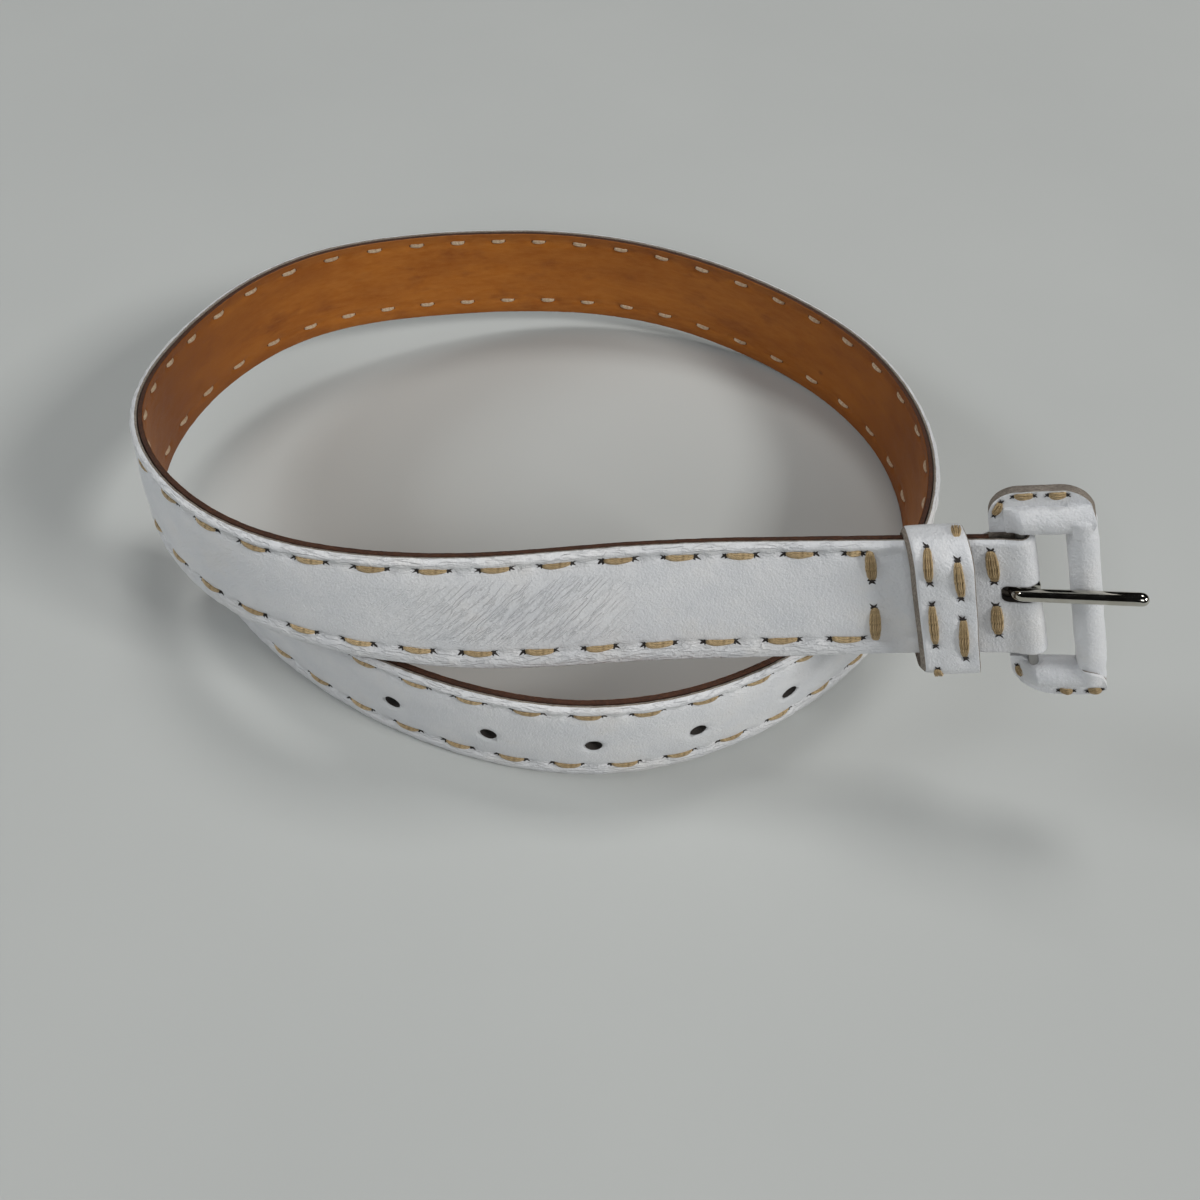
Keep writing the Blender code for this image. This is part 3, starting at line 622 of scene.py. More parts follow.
def row_dips(s, u, long, wide):
    """Dips at the holes of both rows, up to 1 deep."""
    return sum(hump(nearest_gap(s, holes), 0, long) * hump(u, row, wide) for row, holes in ROW_HOLES.items())


def belt_hole_dips(s, u, wide):
    """Dips round the belt holes, 1 deep from the rim inward."""
    places = FIRST_HOLE + HOLE_SPACING * np.arange(HOLES)
    past_rim = np.hypot(nearest_gap(s, places), u) - HOLE_DIAMETER / 2
    return hump(np.maximum(past_rim, 0), 0, wide)


def front_height(s, u):
    """How far the white face stands above its flat level, in millimetres."""
    s, u = np.broadcast_arrays(np.asarray(s, float), np.asarray(u, float))
    off = u - ROW_MIDDLE
    crown = CROWN_HEIGHT * np.clip(1 - (off / (ROW_HALF - 0.6)) ** 2, 0, 1) ** 0.7
    beads = sum(height * hump(u, middle, width) for height, middle, width in BEADS)
    grooves = GROOVE_DEPTH * (hump(u, UPPER_ROW, 0.8) + hump(u, LOWER_ROW, 0.8))
    puckers = np.clip((np.abs(off) - 9.0) / 3.5, 0, 1) * bumps(s + 0.84 * u, u, (0.11, 2.4, 5.0, 3))
    past_fold = np.clip((s - 12.0) / 25.0, 0, 1)
    sewn = HOLE_DIP * row_dips(s, u, 0.95, 0.8) + HOLE_PULL * row_dips(s, u, 2.0, 2.4)
    uneven = bumps(s, u, (0.11, 13.0, 9.0, 5), (0.03, 3.5, 3.0, 6))
    height = past_fold * (crown + beads - grooves + puckers) - sewn * (s > FIRST_HOLES - 3)
    return height + uneven - BELT_HOLE_DIP * belt_hole_dips(s, u, 0.7)


def back_height(s, u):
    """How far the tan face stands behind its flat level, in millimetres."""
    s, u = np.broadcast_arrays(np.asarray(s, float), np.asarray(u, float))
    grooves = BACK_GROOVE_DEPTH * (hump(u, UPPER_ROW, 1.3) + hump(u, LOWER_ROW, 1.3))
    dips = BACK_HOLE_DIP * row_dips(s, u, 1.0, 0.8) + BACK_BELT_HOLE_DIP * belt_hole_dips(s, u, 0.8)
    return bumps(s, u, (0.05, 9.0, 8.0, 11), (0.02, 2.2, 2.2, 12)) - grooves - dips


def crowded(low, high, count, spots, width, gain):
    """Places from low to high, closer together near the spots."""
    fine = np.linspace(low, high, 4000)
    density = 1 + gain * sum(hump(fine, spot, width) for spot in spots)
    total = np.concatenate([[0], np.cumsum((density[1:] + density[:-1]) / 2)])
    return np.interp(np.linspace(0, total[-1], count), total, fine)


def half_width_share(s):
    """1 along the strap, falling to TIP_SIZE in a round curve at the tip."""
    t = np.clip((s - (PATH.length - TIP_LENGTH)) / TIP_LENGTH, 0, 1)
    return TIP_SIZE + (1 - TIP_SIZE) * np.sqrt(1 - t**2)


def run_stations(start):
    """Places along the strap, from start to the tip, ending in a fine round tip."""
    step = 0.8
    straight = np.arange(start, PATH.length - TIP_LENGTH, step)
    tip = PATH.length - TIP_LENGTH * np.cos(np.linspace(0, np.pi / 2, 26))
    return np.concatenate([straight, tip])


def edge_wave(s):
    """Small sideways wander of the strap's edges."""
    return bumps(s, 0.5, (0.16, 17.0, 1.0, 21), (0.05, 3.0, 1.0, 22))


def loft(name, rows, slots, materials):
    """A closed strip from rows of section points, given as (s, u, n) with one section to a row."""
    count, columns = rows.shape[:2]
    grain = rows.reshape(-1, 3).copy()
    world = PATH.place(*grain.T)
    grain[:, 2] += FOLDED_GRAIN * (grain[:, 2] < RETURN_MIDDLE + 0.5)
    slots = np.tile(slots, count - 1).tolist() + [1, 1]
    return outward_object(name, world, capped_faces(count, columns), grain, slots, materials)


def section(thick, count, soft, raw_below):
    """A leather strip's section: u places with depths from -half to half, and a slot for each stretch."""
    half, edge = thick / 2, STRAP_WIDTH / 2
    spots = (UPPER_ROW, LOWER_ROW, soft - edge, edge - soft)
    face = crowded(soft - edge, edge - soft, count, spots, 1.3, 2.2)
    turn = np.radians([18, 36, 54, 72, 90])
    right = [(edge - soft + soft * math.sin(a), half - soft + soft * math.cos(a)) for a in turn]
    right += [(edge + 0.02, 0.16 - half), (edge - 0.12, -half)]
    left = [(-u, d) for u, d in reversed(right)]
    back = np.linspace(edge - 0.5, 0.5 - edge, 7)
    points = np.array([(u, half) for u in face] + right + [(u, -half) for u in back] + left)
    middle = (points[:, 1] + np.roll(points[:, 1], -1)) / 2
    return points, (middle < raw_below).astype(int)


def leather_rows(stations, sides, points, height, narrow):
    """Section points at every station: along, across and out of the strap."""
    s, n = stations[:, 0:1], stations[:, 1:2]
    u, depth = points[:, 0][None, :], points[:, 1][None, :]
    edge = STRAP_WIDTH / 2
    share = np.clip(depth / depth.max(), 0, 1) ** 1.5
    frayed = np.clip(np.abs(u) - edge + 1, 0, 1) * bumps(s, u, (0.05, 1.1, 1.0, 31))
    depth = depth + height(s, u) * share + frayed
    across = u * narrow[:, None] + edge_wave(s) * np.sign(u) * np.clip(np.abs(u) / edge, 0, 1) ** 4
    return np.stack(np.broadcast_arrays(s + sides[:, 0:1] * depth, across, n + sides[:, 1:2] * depth), -1)


def add_pin(pile, matrix, outline, levels):
    """A pin along a local space's y axis: its outline in x and z, grown at each (y, growth) level."""
    x, z = outline
    rings = [np.stack([grow * x, np.full(len(x), y), grow * z], -1) for y, grow in levels]
    points = through(matrix, np.concatenate(rings))
    pile.add(points, points, capped_faces(len(levels), len(x)))


def belt_hole_pins(name):
    """Slightly uneven round pins, wider where they meet the white face."""
    pile = Pile()
    angle = np.linspace(0, 2 * np.pi, 40, endpoint=False)
    reach = 6.0
    levels = ((-reach, 1.0), (OUTER_THICK - 0.9, 1.0), (OUTER_THICK - 0.1, 1.18), (reach, 1.22))
    for k in range(HOLES):
        radius = HOLE_DIAMETER / 2 * (1 + 0.04 * noise(angle * 1.3, k, 41))
        outline = radius * np.cos(angle), radius * np.sin(angle)
        add_pin(pile, PATH.frame(FIRST_HOLE + k * HOLE_SPACING, 0, 0), outline, levels)
    # The pins' nearly black material is painted shade, passed onto the hole walls they cut.
    return pile.make(name, (SHADED_HOLE_WALL,))


def prong_slot_pin(name):
    """A pin with a long rounded outline, through the strap's fold."""
    rounding, deep = 1.4, 6.5
    middle, length = (HEEL_BAR + SLOT_REACH - 2) / 2, HEEL_BAR + SLOT_REACH + 2
    angle = np.radians([start + 15 * k for start in (0, 90, 180, 270) for k in range(7)])
    x = rounding * np.cos(angle) + (length / 2 - rounding) * np.repeat([1, -1, -1, 1], 7)
    z = rounding * np.sin(angle) + (SLOT_WIDTH / 2 - rounding) * np.repeat([1, 1, -1, -1], 7)
    pile = Pile()
    add_pin(pile, PATH.frame(middle, PRONG_PLACE, BAR_DEPTH), (x, z), ((-deep, 1.0), (deep, 1.0)))
    # The pin's nearly black material is painted shade, passed onto the slot walls it cuts.
    return pile.make(name, (SHADED_HOLE_WALL,))


def cut(target, *cutters):
    """Cuts real openings and makes them part of the mesh."""
    for cutter in cutters:
        mesh = cutter.data
        work = target.modifiers.new("cut", "BOOLEAN")
        work.operation, work.solver, work.object = "DIFFERENCE", "EXACT", cutter
        work.material_mode = "TRANSFER"
        with bpy.context.temp_override(object=target, active_object=target, selected_objects=[target]):
            bpy.ops.object.modifier_apply(modifier=work.name)
        bpy.data.objects.remove(cutter)
        bpy.data.meshes.remove(mesh)
    sharpen(target)
    return target


def eased_line(start, end, shares):
    """Points from start to end, evenly spaced along s, which leave and arrive level."""
    return [(start[0] + (end[0] - start[0]) * t, start[1] + (end[1] - start[1]) * k)
            for t, k in zip(shares, smooth_step(shares, 0, 1))]


def strap_outer():
    """The white leather: its folded end, the turn round the heel bar, and the long front."""
    fold_end = HEEL_BAR + 2 * FOLD_RADIUS
    turn = np.radians(np.linspace(-90, -270, 26))
    bend = [(HEEL_BAR + FOLD_RADIUS * math.cos(a), BAR_DEPTH + FOLD_RADIUS * math.sin(a)) for a in turn]
    shares = np.linspace(0, 1, 9)[1:-1]
    line = [(s, RETURN_MIDDLE) for s in np.arange(FOLD_RETURN, fold_end, -0.9)]
    line += eased_line((fold_end, RETURN_MIDDLE), bend[0], shares) + bend
    line += eased_line((HEEL_BAR, bend[-1][1]), (fold_end, OUTER_THICK / 2), shares)
    line = np.array(line + [(s, OUTER_THICK / 2) for s in run_stations(fold_end)])
    tangent = unit(np.gradient(line, axis=0))
    sides = np.stack([-tangent[:, 1], tangent[:, 0]], 1)
    folded = (line[:, 1] < RETURN_MIDDLE + 0.2) & (line[:, 0] > HEEL_BAR)
    fade = np.clip((line[:, 0] - NARROW_FROM + 3) / 4, 0, 1)
    narrow = np.where(folded, 1 - (1 - RETURN_SHARE) * fade, half_width_share(line[:, 0]))
    points, slots = section(OUTER_THICK, 62, 1.05, -0.34)
    rows = leather_rows(line, sides, points, front_height, narrow)
    strap = loft("strap_white_leather", rows, slots, (WHITE, RAW))
    return cut(strap, belt_hole_pins("hole_pins"), prong_slot_pin("slot_pin"))


def strap_lining():
    """The tan leather, whose good face looks into the coil."""
    s = run_stations(LINING_START)
    line = np.stack([s, 0 * s + BACK_FACE + LINING_THICK / 2], 1)
    sides = np.stack([0 * s, 0 * s - 1.0], 1)
    points, slots = section(LINING_THICK, 46, 0.34, 0.50)
    rows = leather_rows(line, sides, points, back_height, half_width_share(s))
    return cut(loft("strap_tan_lining", rows, slots, (TAN, TAN_EDGE)), belt_hole_pins("lining_hole_pins"))


# ------------------------------------------------------------------ stitches


# Half width and half height of each kind of stitch.
FRONT_STITCH, BACK_STITCH = (0.86, 0.46), (0.66, 0.36)
CROSS_FRONT, CROSS_BACK = (1.30, 0.55), (1.2, 0.55)
KEEPER_STITCH, RIM_STITCH = (0.95, 0.52), (0.72, 0.40)
SLIT_OUTLINE = (
    (-0.45, 0.0), (-0.30, 0.42), (0.10, 0.62), (0.16, 0.36), (0.60, 0.56), (1.0, 0.62), (0.66, 0.26),
    (0.48, 0.0), (0.62, -0.20), (0.90, -0.50), (0.50, -0.44), (0.14, -0.34), (0.02, -0.66), (-0.30, -0.40),
)


def ragged_slit(pile, place, length, wide, rng, up, away):
    """A torn hole as a flat dark patch of painted shade, spiky on the side away from its stitch (1 or -1);
    place maps it to the world.
    """
    torn = 1 + 0.22 * rng.uniform(-1, 1, (len(SLIT_OUTLINE), 1))
    shape = np.array(SLIT_OUTLINE) * (length / 2, wide) * torn
    shape *= away, rng.choice([-1, 1])
    along, across = np.concatenate([[[0.0, 0.0]], shape]).T
    points = place(along, across, up)
    pile.add(points, points, [[0, k, 1 + k % len(shape)] for k in range(1, len(shape) + 1)], slot=1)


def running_stitch(pile, place, length, half_wide, half_high, rng, lift, slot=0, strands=1, dive=0.8):
    """A stitch seen on a face: it rises from one hole, lies over the leather and dives into the next."""
    t = np.linspace(0, 1, 22)
    along = length * (t - 0.5)
    arch = np.clip(np.sin(np.pi * t), 0, 1)
    skew = rng.uniform(-0.22, 0.22) * half_wide * 2
    size = 0.50 + 0.50 * arch**0.42
    tint = rng.uniform(0, 1)
    for share in np.linspace(-0.5, 0.5, strands) if strands > 1 else (0.0,):
        aside = 1.55 * half_wide * share * arch**0.42 + skew * (t - 0.5) + 0.06 * rng.uniform(-1, 1)
        peak = lift * (1 - 0.7 * abs(share)) + 0.04 * rng.uniform(-1, 1)
        height = -dive + (dive + peak) * arch**0.36
        line = place(along, aside, height)
        across = unit(place(along, aside + 0.5, height) - line)
        up = unit(place(along, aside, height + 0.5) - line)
        if strands > 1:
            wide = half_wide * 1.12 / strands * (0.85 + 0.15 * size) * rng.uniform(0.92, 1.12)
            high = half_high * size * rng.uniform(0.92, 1.08)
            shade = 0.4 * tint + 0.6 * rng.uniform(0, 1)
            pile.tube(line, wide, high, across, up, shade, 3, 2.4, 0.14, 14, slot)
        else:
            wide = half_wide * size * rng.uniform(0.92, 1.10)
            twist = rng.uniform(0.7, 1.3)
            pile.tube(line, wide, half_high * size, across, up, tint, 5, twist, 0.13, 20, slot)


def face_place(middle, u, side, follow):
    """Maps (along, across, up) round one spot of the white face (1) or the tan face (-1) to the world.

    follow is the share of the leather's own ups and downs near the spot that is followed.
    """
    height, flat = (front_height, OUTER_THICK) if side > 0 else (back_height, -BACK_FACE)

    def place(along, across, up):
        s, v = middle + along, u + across
        level = flat + follow * height(s, v) + (1 - follow) * height(middle, u)
        return PATH.place(s, v, side * (level + up))

    return place


def mapped(frame, shape):
    """A place function from shape, which gives local (x, y, z) for arrays of along, across and up."""
    def place(along, across, up):
        spots = np.broadcast_arrays(np.asarray(along, float), across, up)
        return through(frame, np.stack(np.broadcast_arrays(*shape(*spots)), -1))

    return place


def row_thread(name, u, seed):
    """Every stitch of one row, on both faces, with the torn slits it dives into."""
    rng = np.random.RandomState(seed)
    pile = Pile()
    holes = ROW_HOLES[u].copy()
    if u == UPPER_ROW:
        holes[0] -= FIRST_STITCH_EXTRA
    for k, (start, end) in enumerate(zip(holes[:-1], holes[1:])):
        outside = k % 2 == 0
        side = 1 if outside else -1
        middle, length = (start + end) / 2, end - start
        wander = 0.05 * rng.uniform(-1, 1)
        if outside:
            place = face_place(middle, u + wander, side, 0.35)
            running_stitch(pile, place, length - 1.5, *FRONT_STITCH, rng, lift=0.16)
        else:
            place = face_place(middle, u + wander, side, 0.0)
            running_stitch(pile, place, length - 0.9, *BACK_STITCH, rng, lift=0.14, slot=2)
        for spot, away in ((start, -1), (end, 1)):
            wide = rng.uniform(1.0, 1.35) if outside else 0.6
            long = rng.uniform(2.2, 2.9) if outside else 1.3
            ragged_slit(pile, face_place(spot - away * 0.75, u, side, 1.0), long, wide, rng, 0.04, away)
    return pile.make(name, (THREAD, SLIT_SHADE, PALE_THREAD))


def cross_thread(name, s, top, bottom, seed):
    """A thick stitch of several passes across the folded end, on both faces."""
    rng = np.random.RandomState(seed)
    pile = Pile()
    frame = PATH.frame(s, 0, 0)
    middle, length = (top + bottom) / 2, top - bottom + 0.9

    def front(u):
        level = OUTER_THICK + front_height(s, u)
        return mapped(frame, lambda along, across, up: (across, level + up, u - along))

    behind = mapped(frame, lambda along, across, up: (across, RETURN_FACE - up, middle - along))
    running_stitch(pile, front(middle), length, *CROSS_FRONT, rng, lift=0.30, strands=5)
    for end, away in ((top, -1), (bottom, 1)):
        ragged_slit(pile, front(end), 2.6, 1.5, rng, 0.06, away)
    running_stitch(pile, behind, length - 0.6, *CROSS_BACK, rng, lift=0.40, strands=4)
    return pile.make(name, (THREAD, SLIT_SHADE))


# ------------------------------------------------------------------ keeper

# Where along the leather's texture each smaller piece begins, so that no two look alike.
KEEPER_GRAIN, COVER_GRAIN, BAR_GRAIN = 900.0, 1200.0, 1500.0


def keeper_ring(count):
    """Evenly spaced points of the keeper's inner section, in columns: n, u, dn, du and the length up to each.

    dn and du point outward.
    """
    high_u, low_u = KEEPER_HALF - KEEPER_DROP, -KEEPER_HALF - KEEPER_DROP
    table = []
    for n, u, start, radius in ((KEEPER_FRONT, low_u, -90, KEEPER_FRONT_CORNER),
                                (KEEPER_FRONT, high_u, 0, KEEPER_FRONT_CORNER),
                                (KEEPER_BACK, high_u, 90, KEEPER_BACK_CORNER),
                                (KEEPER_BACK, low_u, 180, KEEPER_BACK_CORNER)):
        middle_n, middle_u = n - math.copysign(radius, n), u - math.copysign(radius, u)
        for a in np.radians(np.linspace(start, start + 90, 13)):
            table.append((middle_n + radius * math.cos(a), middle_u + radius * math.sin(a), a))
    table.append((*table[0][:2], table[0][2] + 2 * math.pi))
    table = np.array(table)
    total = np.concatenate([[0], np.cumsum(np.hypot(*np.diff(table[:, :2], axis=0).T))])
    at = np.linspace(0, total[-1], count, endpoint=False)
    n, u, a = (np.interp(at, total, table[:, k]) for k in range(3))
    return (column[:, None] for column in (n, u, np.cos(a), np.sin(a), at))


def keeper_loop():
    """The leather loop: a soft-edged band with raw rims."""
    n, u, dn, du, at = keeper_ring(150)
    half, thick, soft = KEEPER_WIDTH / 2, KEEPER_THICK, 0.5
    face = np.linspace(-half + soft, half - soft, 18)
    right = [(half - soft + soft * math.sin(a), thick - soft + soft * math.cos(a)) for a in (0.5, 1.0)]
    right += [(half, thick - soft), (half + 0.04, thick * 0.4), (half - 0.03, 0.12), (half - 0.15, 0.0)]
    inner = np.linspace(half - 0.6, -half + 0.6, 6)
    left = [(-x, d) for x, d in reversed(right)]
    outline = np.array([(x, thick) for x in face] + right + [(x, 0.0) for x in inner] + left)
    slots = np.zeros(len(outline), int)
    slots[len(face) + 1:len(outline) - 1] = 1
    x, depth = outline[:, 0][None, :], outline[:, 1][None, :]
    swell = 0.22 * (1 - (x / half) ** 2) + bumps(at, x, (0.10, 6.0, 5.0, 51), (0.03, 1.4, 1.6, 52))
    near_front = np.clip((n - KEEPER_FRONT + 2.5) / 2, 0, 1)
    for side, row in KEEPER_ROWS.items():
        for height in np.ravel(KEEPER_STITCHES[side]):
            hole_n, hole_u = keeper_point(height, 0.0)
            swell = swell - 0.34 * hump(np.hypot(n - hole_n, u - hole_u), 0, 0.95) * hump(x, row, 0.95)
        swell = swell - 0.10 * hump(x, row, 1.0) * near_front
    depth = depth + np.where(depth > thick - 0.05, swell, 0.0)
    wave = bumps(at, np.sign(x), (0.12, 7.0, 1.0, 53)) * (np.abs(x) > half - 0.7)
    slant = KEEPER_SLANT * (KEEPER_FRONT + KEEPER_THICK - (n + dn * depth))
    bevel = 1.15 * np.clip((x - half + 1.6) / 1.6, 0, 1) * np.clip(depth / thick, 0, 1)
    points = np.stack(np.broadcast_arrays(x + wave + slant - bevel, n + dn * depth, u + du * depth), -1)
    grain = np.stack(np.broadcast_arrays(at + KEEPER_GRAIN, x, depth), -1).reshape(-1, 3)
    faces = ring_faces(*points.shape[:2], closed=True)
    world = through(KEEPER_FRAME, points.reshape(-1, 3))
    return outward_object("keeper_leather", world, faces, grain, np.tile(slots, len(at)), (WHITE, RAW))


def keeper_point(height, out):
    """(n, u) of points up the front of the keeper's inside face, moved out from it."""
    corner = KEEPER_FRONT_CORNER
    level = np.clip(height, corner - KEEPER_HALF - KEEPER_DROP, KEEPER_HALF - KEEPER_DROP - corner)
    angle = (height - level) / (corner + KEEPER_THICK)
    return KEEPER_FRONT - corner + (corner + out) * np.cos(angle), level + (corner + out) * np.sin(angle)


def keeper_thread(name, side, seed):
    """Thick stitches down one side of the keeper's face, and one over its top or bottom."""
    rng = np.random.RandomState(seed)
    pile = Pile()

    def face(height, out):
        return mapped(KEEPER_FRAME, lambda along, across, up: (
            KEEPER_ROWS[side] + across, *keeper_point(height - along, KEEPER_THICK + out + up)))

    for top, bottom in (*KEEPER_STITCHES[side], KEEPER_END_STITCH[side]):
        middle, length = (top + bottom) / 2, top - bottom
        running_stitch(pile, face(middle, 0.12), length, *KEEPER_STITCH, rng, lift=0.30, strands=4)
        for end, away in ((top, -1), (bottom, 1)):
            ragged_slit(pile, face(end, -0.02), 2.2, 1.2, rng, 0.09, away)
    return pile.make(name, (THREAD, SLIT_SHADE))


# ------------------------------------------------------------------ buckle


def crest(level, x):
    """Height of a rim's outer line at x: level, with a round corner at each end."""
    heel, heel_radius, end_radius = RIM_SHAPES[level]
    height = RIM_TOP
    for past, radius in ((x - heel + heel_radius, heel_radius), (SLEEVE_END + end_radius - x, end_radius)):
        height = height - radius + np.sqrt(radius**2 - np.clip(past, 0, radius) ** 2)
    return height


def soft_max(a, b):
    """The larger of two values, with a rounded crossing."""
    return 0.5 * (a + b + np.sqrt((a - b) ** 2 + 0.55**2))


def side_cover(level, side):
    """Leather folded round one arm: a sleeve, draped over the end bar's tube, that runs into a sewn rim."""
    heel = RIM_SHAPES[level][0]
    spots = (SLEEVE_END, heel, -BAR_SPACING, 1.5)
    x = crowded(SLEEVE_END, heel, 120, spots, 1.6, 2.5)[::-1][:, None]
    top = crest(level, x)
    past_bar = np.clip(1.0 - BAR_SPACING - x, 0, None)
    low = WINDOW_HALF + 4.6 * (1 - np.sqrt(np.clip(1 - (past_bar / 3.75) ** 2, 0, 1)))
    low = low + (RIM_FOOT[level] - WINDOW_HALF) * smooth_step(x, 0.4, 2.6)
    low = np.minimum(low, top - 0.8)
    reach = np.maximum(top - 0.25, low + 0.5)
    tube_z = low + (COVER_MIDDLE + COVER_RADIUS - low) * (1 - np.cos(np.linspace(0, np.pi, 26))) / 2
    tube_z = np.minimum(tube_z, reach)
    rim_z = tube_z[:, -1:] + (reach - tube_z[:, -1:]) * np.linspace(0, 1, 9)[1:]
    z = np.concatenate([tube_z, rim_z], 1)
    tube = np.sqrt(np.clip(COVER_RADIUS**2 - (z - COVER_MIDDLE) ** 2, 0, None))
    tube = tube * (1 - smooth_step(x, -0.8, 3.2))
    drape = np.sqrt(np.clip((END_BAR_RADIUS + 0.55) ** 2 - (x + BAR_SPACING) ** 2, 0, None))
    drape = drape * (1 - smooth_step(z, COVER_MIDDLE + 0.5, COVER_MIDDLE + 3.4))
    drape = drape * smooth_step(-x, BAR_SPACING - 3.4, BAR_SPACING - 1.6)
    body = np.maximum(tube, drape)
    raised = np.where(body > 0.02, body, -9.0)
    bulge = bumps(x, z, (0.10, 3.5, 3.0, 61 + (side > 0)), (0.03, 1.0, 1.0, 63))
    front_y = soft_max(FLANGE_FRONT + 0.10, raised) + bulge
    back_y = -soft_max(FLANGE_THICK - FLANGE_FRONT, raised)
    turn_in = np.clip((z - low) / 0.14, 0, 1) ** 0.5
    middle = np.where(body > 0.3, 0.0, RIM_SEAM)
    front_y = middle + (front_y - middle) * turn_in
    back_y = middle + (back_y - middle) * turn_in
    for hole_x, hole_z in (rim_hole(level, distance) for distance in RIM_HOLES[level]):
        front_y = front_y - 0.32 * hump(x, hole_x, 0.6) * hump(z, hole_z, 0.6)
    crest_z = np.repeat(top + bumps(x, 0.0, (0.02, 1.0, 1.0, 64)), 3, axis=1)
    crest_y = np.array([FLANGE_FRONT - 0.35, RIM_SEAM, FLANGE_FRONT - FLANGE_THICK + 0.3]) + 0 * x
    section_z = np.concatenate([z, crest_z, z[:, ::-1]], 1)
    section_y = np.concatenate([front_y, crest_y, back_y[:, ::-1]], 1)
    count, columns = section_z.shape
    points = np.stack([np.broadcast_to(x, section_z.shape), section_y, side * section_z], -1).reshape(-1, 3)
    slots = np.zeros((count - 1, columns), int)
    rim_start = z.shape[1] - 1
    slots[:, rim_start:rim_start + 4] = 1
    cut_end = np.flatnonzero(x[:-1, 0] < 3.0 - BAR_SPACING)
    slots[np.ix_(cut_end, [0, 1, columns - 3, columns - 2, columns - 1])] = 1
    grain = points + np.array([COVER_GRAIN + 60 * side, 0, 0])
    item = outward_object(f"side_cover_leather_{level}", through(BUCKLE_FRAME, points),
                          capped_faces(count, columns), grain, [*slots.ravel().tolist(), 1, 1], (WHITE, RAW))
    sharpen(item)
    return item


def rim_hole(level, distance):
    """The place of a rim's hole, as (x, z), at a distance along its stitch line from the heel."""
    heel, heel_radius, _ = RIM_SHAPES[level]
    radius = heel_radius - RIM_STITCH_INSET
    if distance < radius * math.pi / 2:
        a = distance / radius
        return heel - heel_radius + radius * math.cos(a), RIM_TOP - heel_radius + radius * math.sin(a)
    x = heel - heel_radius - (distance - radius * math.pi / 2)
    return x, crest(level, x) - RIM_STITCH_INSET


def rim_thread(level, side, seed):
    """Stitches along a side cover's rim, on both faces, apart from the long pass between its two groups."""
    rng = np.random.RandomState(seed)
    pile = Pile()
    holes = [np.array(rim_hole(level, distance)) for distance in RIM_HOLES[level]]
    for k, (start, end) in enumerate(zip(holes[:-1], holes[1:])):
        front = k % 2 == 0
        length = float(np.linalg.norm(end - start))
        if not front and length > 6:
            continue
        run = (end - start) / length

        def face(spot, y, out=1):
            return mapped(BUCKLE_FRAME, lambda along, across, up: (
                spot[0] + run[0] * along - run[1] * across, y + out * up,
                side * (spot[1] + run[1] * along + run[0] * across)))

        if not front:
            place = face((start + end) / 2, FLANGE_FRONT - FLANGE_THICK, -1)
            running_stitch(pile, place, length, *RIM_STITCH, rng, lift=0.26, dive=0.6)
            continue
        place = face((start + end) / 2, FLANGE_FRONT + 0.12)
        running_stitch(pile, place, length, *RIM_STITCH, rng, lift=0.26, strands=3, dive=0.6)
        for spot, away in ((start, -1), (end, 1)):
            ragged_slit(pile, face(spot + 0.1 * away * run, FLANGE_FRONT - 0.02), 1.5, 0.8, rng, 0.05, away)
    return pile.make(f"rim_stitches_{level}", (THREAD, SLIT_SHADE))


def end_bar():
    """The end bar's leather tube: soft and uneven, with a closed seam and turned-in ends."""
    sides, soft = 64, 0.5
    half = END_COVER_HALF - SLEEVE_OVERLAP
    z = np.linspace(soft - half, half - soft, 90)
    angle = np.linspace(0, 2 * np.pi, sides, endpoint=False)
    size = END_BAR_RADIUS + bumps(z[:, None], angle, (0.10, 4.5, 1 / 1.2, 71), (0.025, 1.1, 1 / 3, 72))
    from_seam = np.angle(np.exp(1j * (angle - math.radians(215))))
    size = size - 0.30 * hump(from_seam, 0, 0.07) - 0.22 * smooth_step(np.abs(z), 16.5, 19.5)[:, None]
    turn = np.radians([30, 60, 90])
    first = [(soft - half - soft * math.sin(a), size[0] - soft + soft * math.cos(a)) for a in turn[::-1]]
    last = [(half - soft + soft * math.sin(a), size[-1] - soft + soft * math.cos(a)) for a in turn]
    levels = first + list(zip(z, size)) + last
    points = np.concatenate([
        np.stack([row * np.cos(angle) - BAR_SPACING, row * np.sin(angle), np.full(sides, height)], -1)
        for height, row in levels])
    faces = capped_faces(len(levels), sides)
    slots = [0] * (len(faces) - 2) + [1, 1]
    round_bar = np.tile((angle - math.pi) * END_BAR_RADIUS, len(levels))
    grain = np.stack([points[:, 2] + BAR_GRAIN, round_bar, 0 * round_bar], -1)
    return outward_object("end_bar_leather", through(BUCKLE_FRAME, points), faces, grain, slots, (WHITE, RAW))


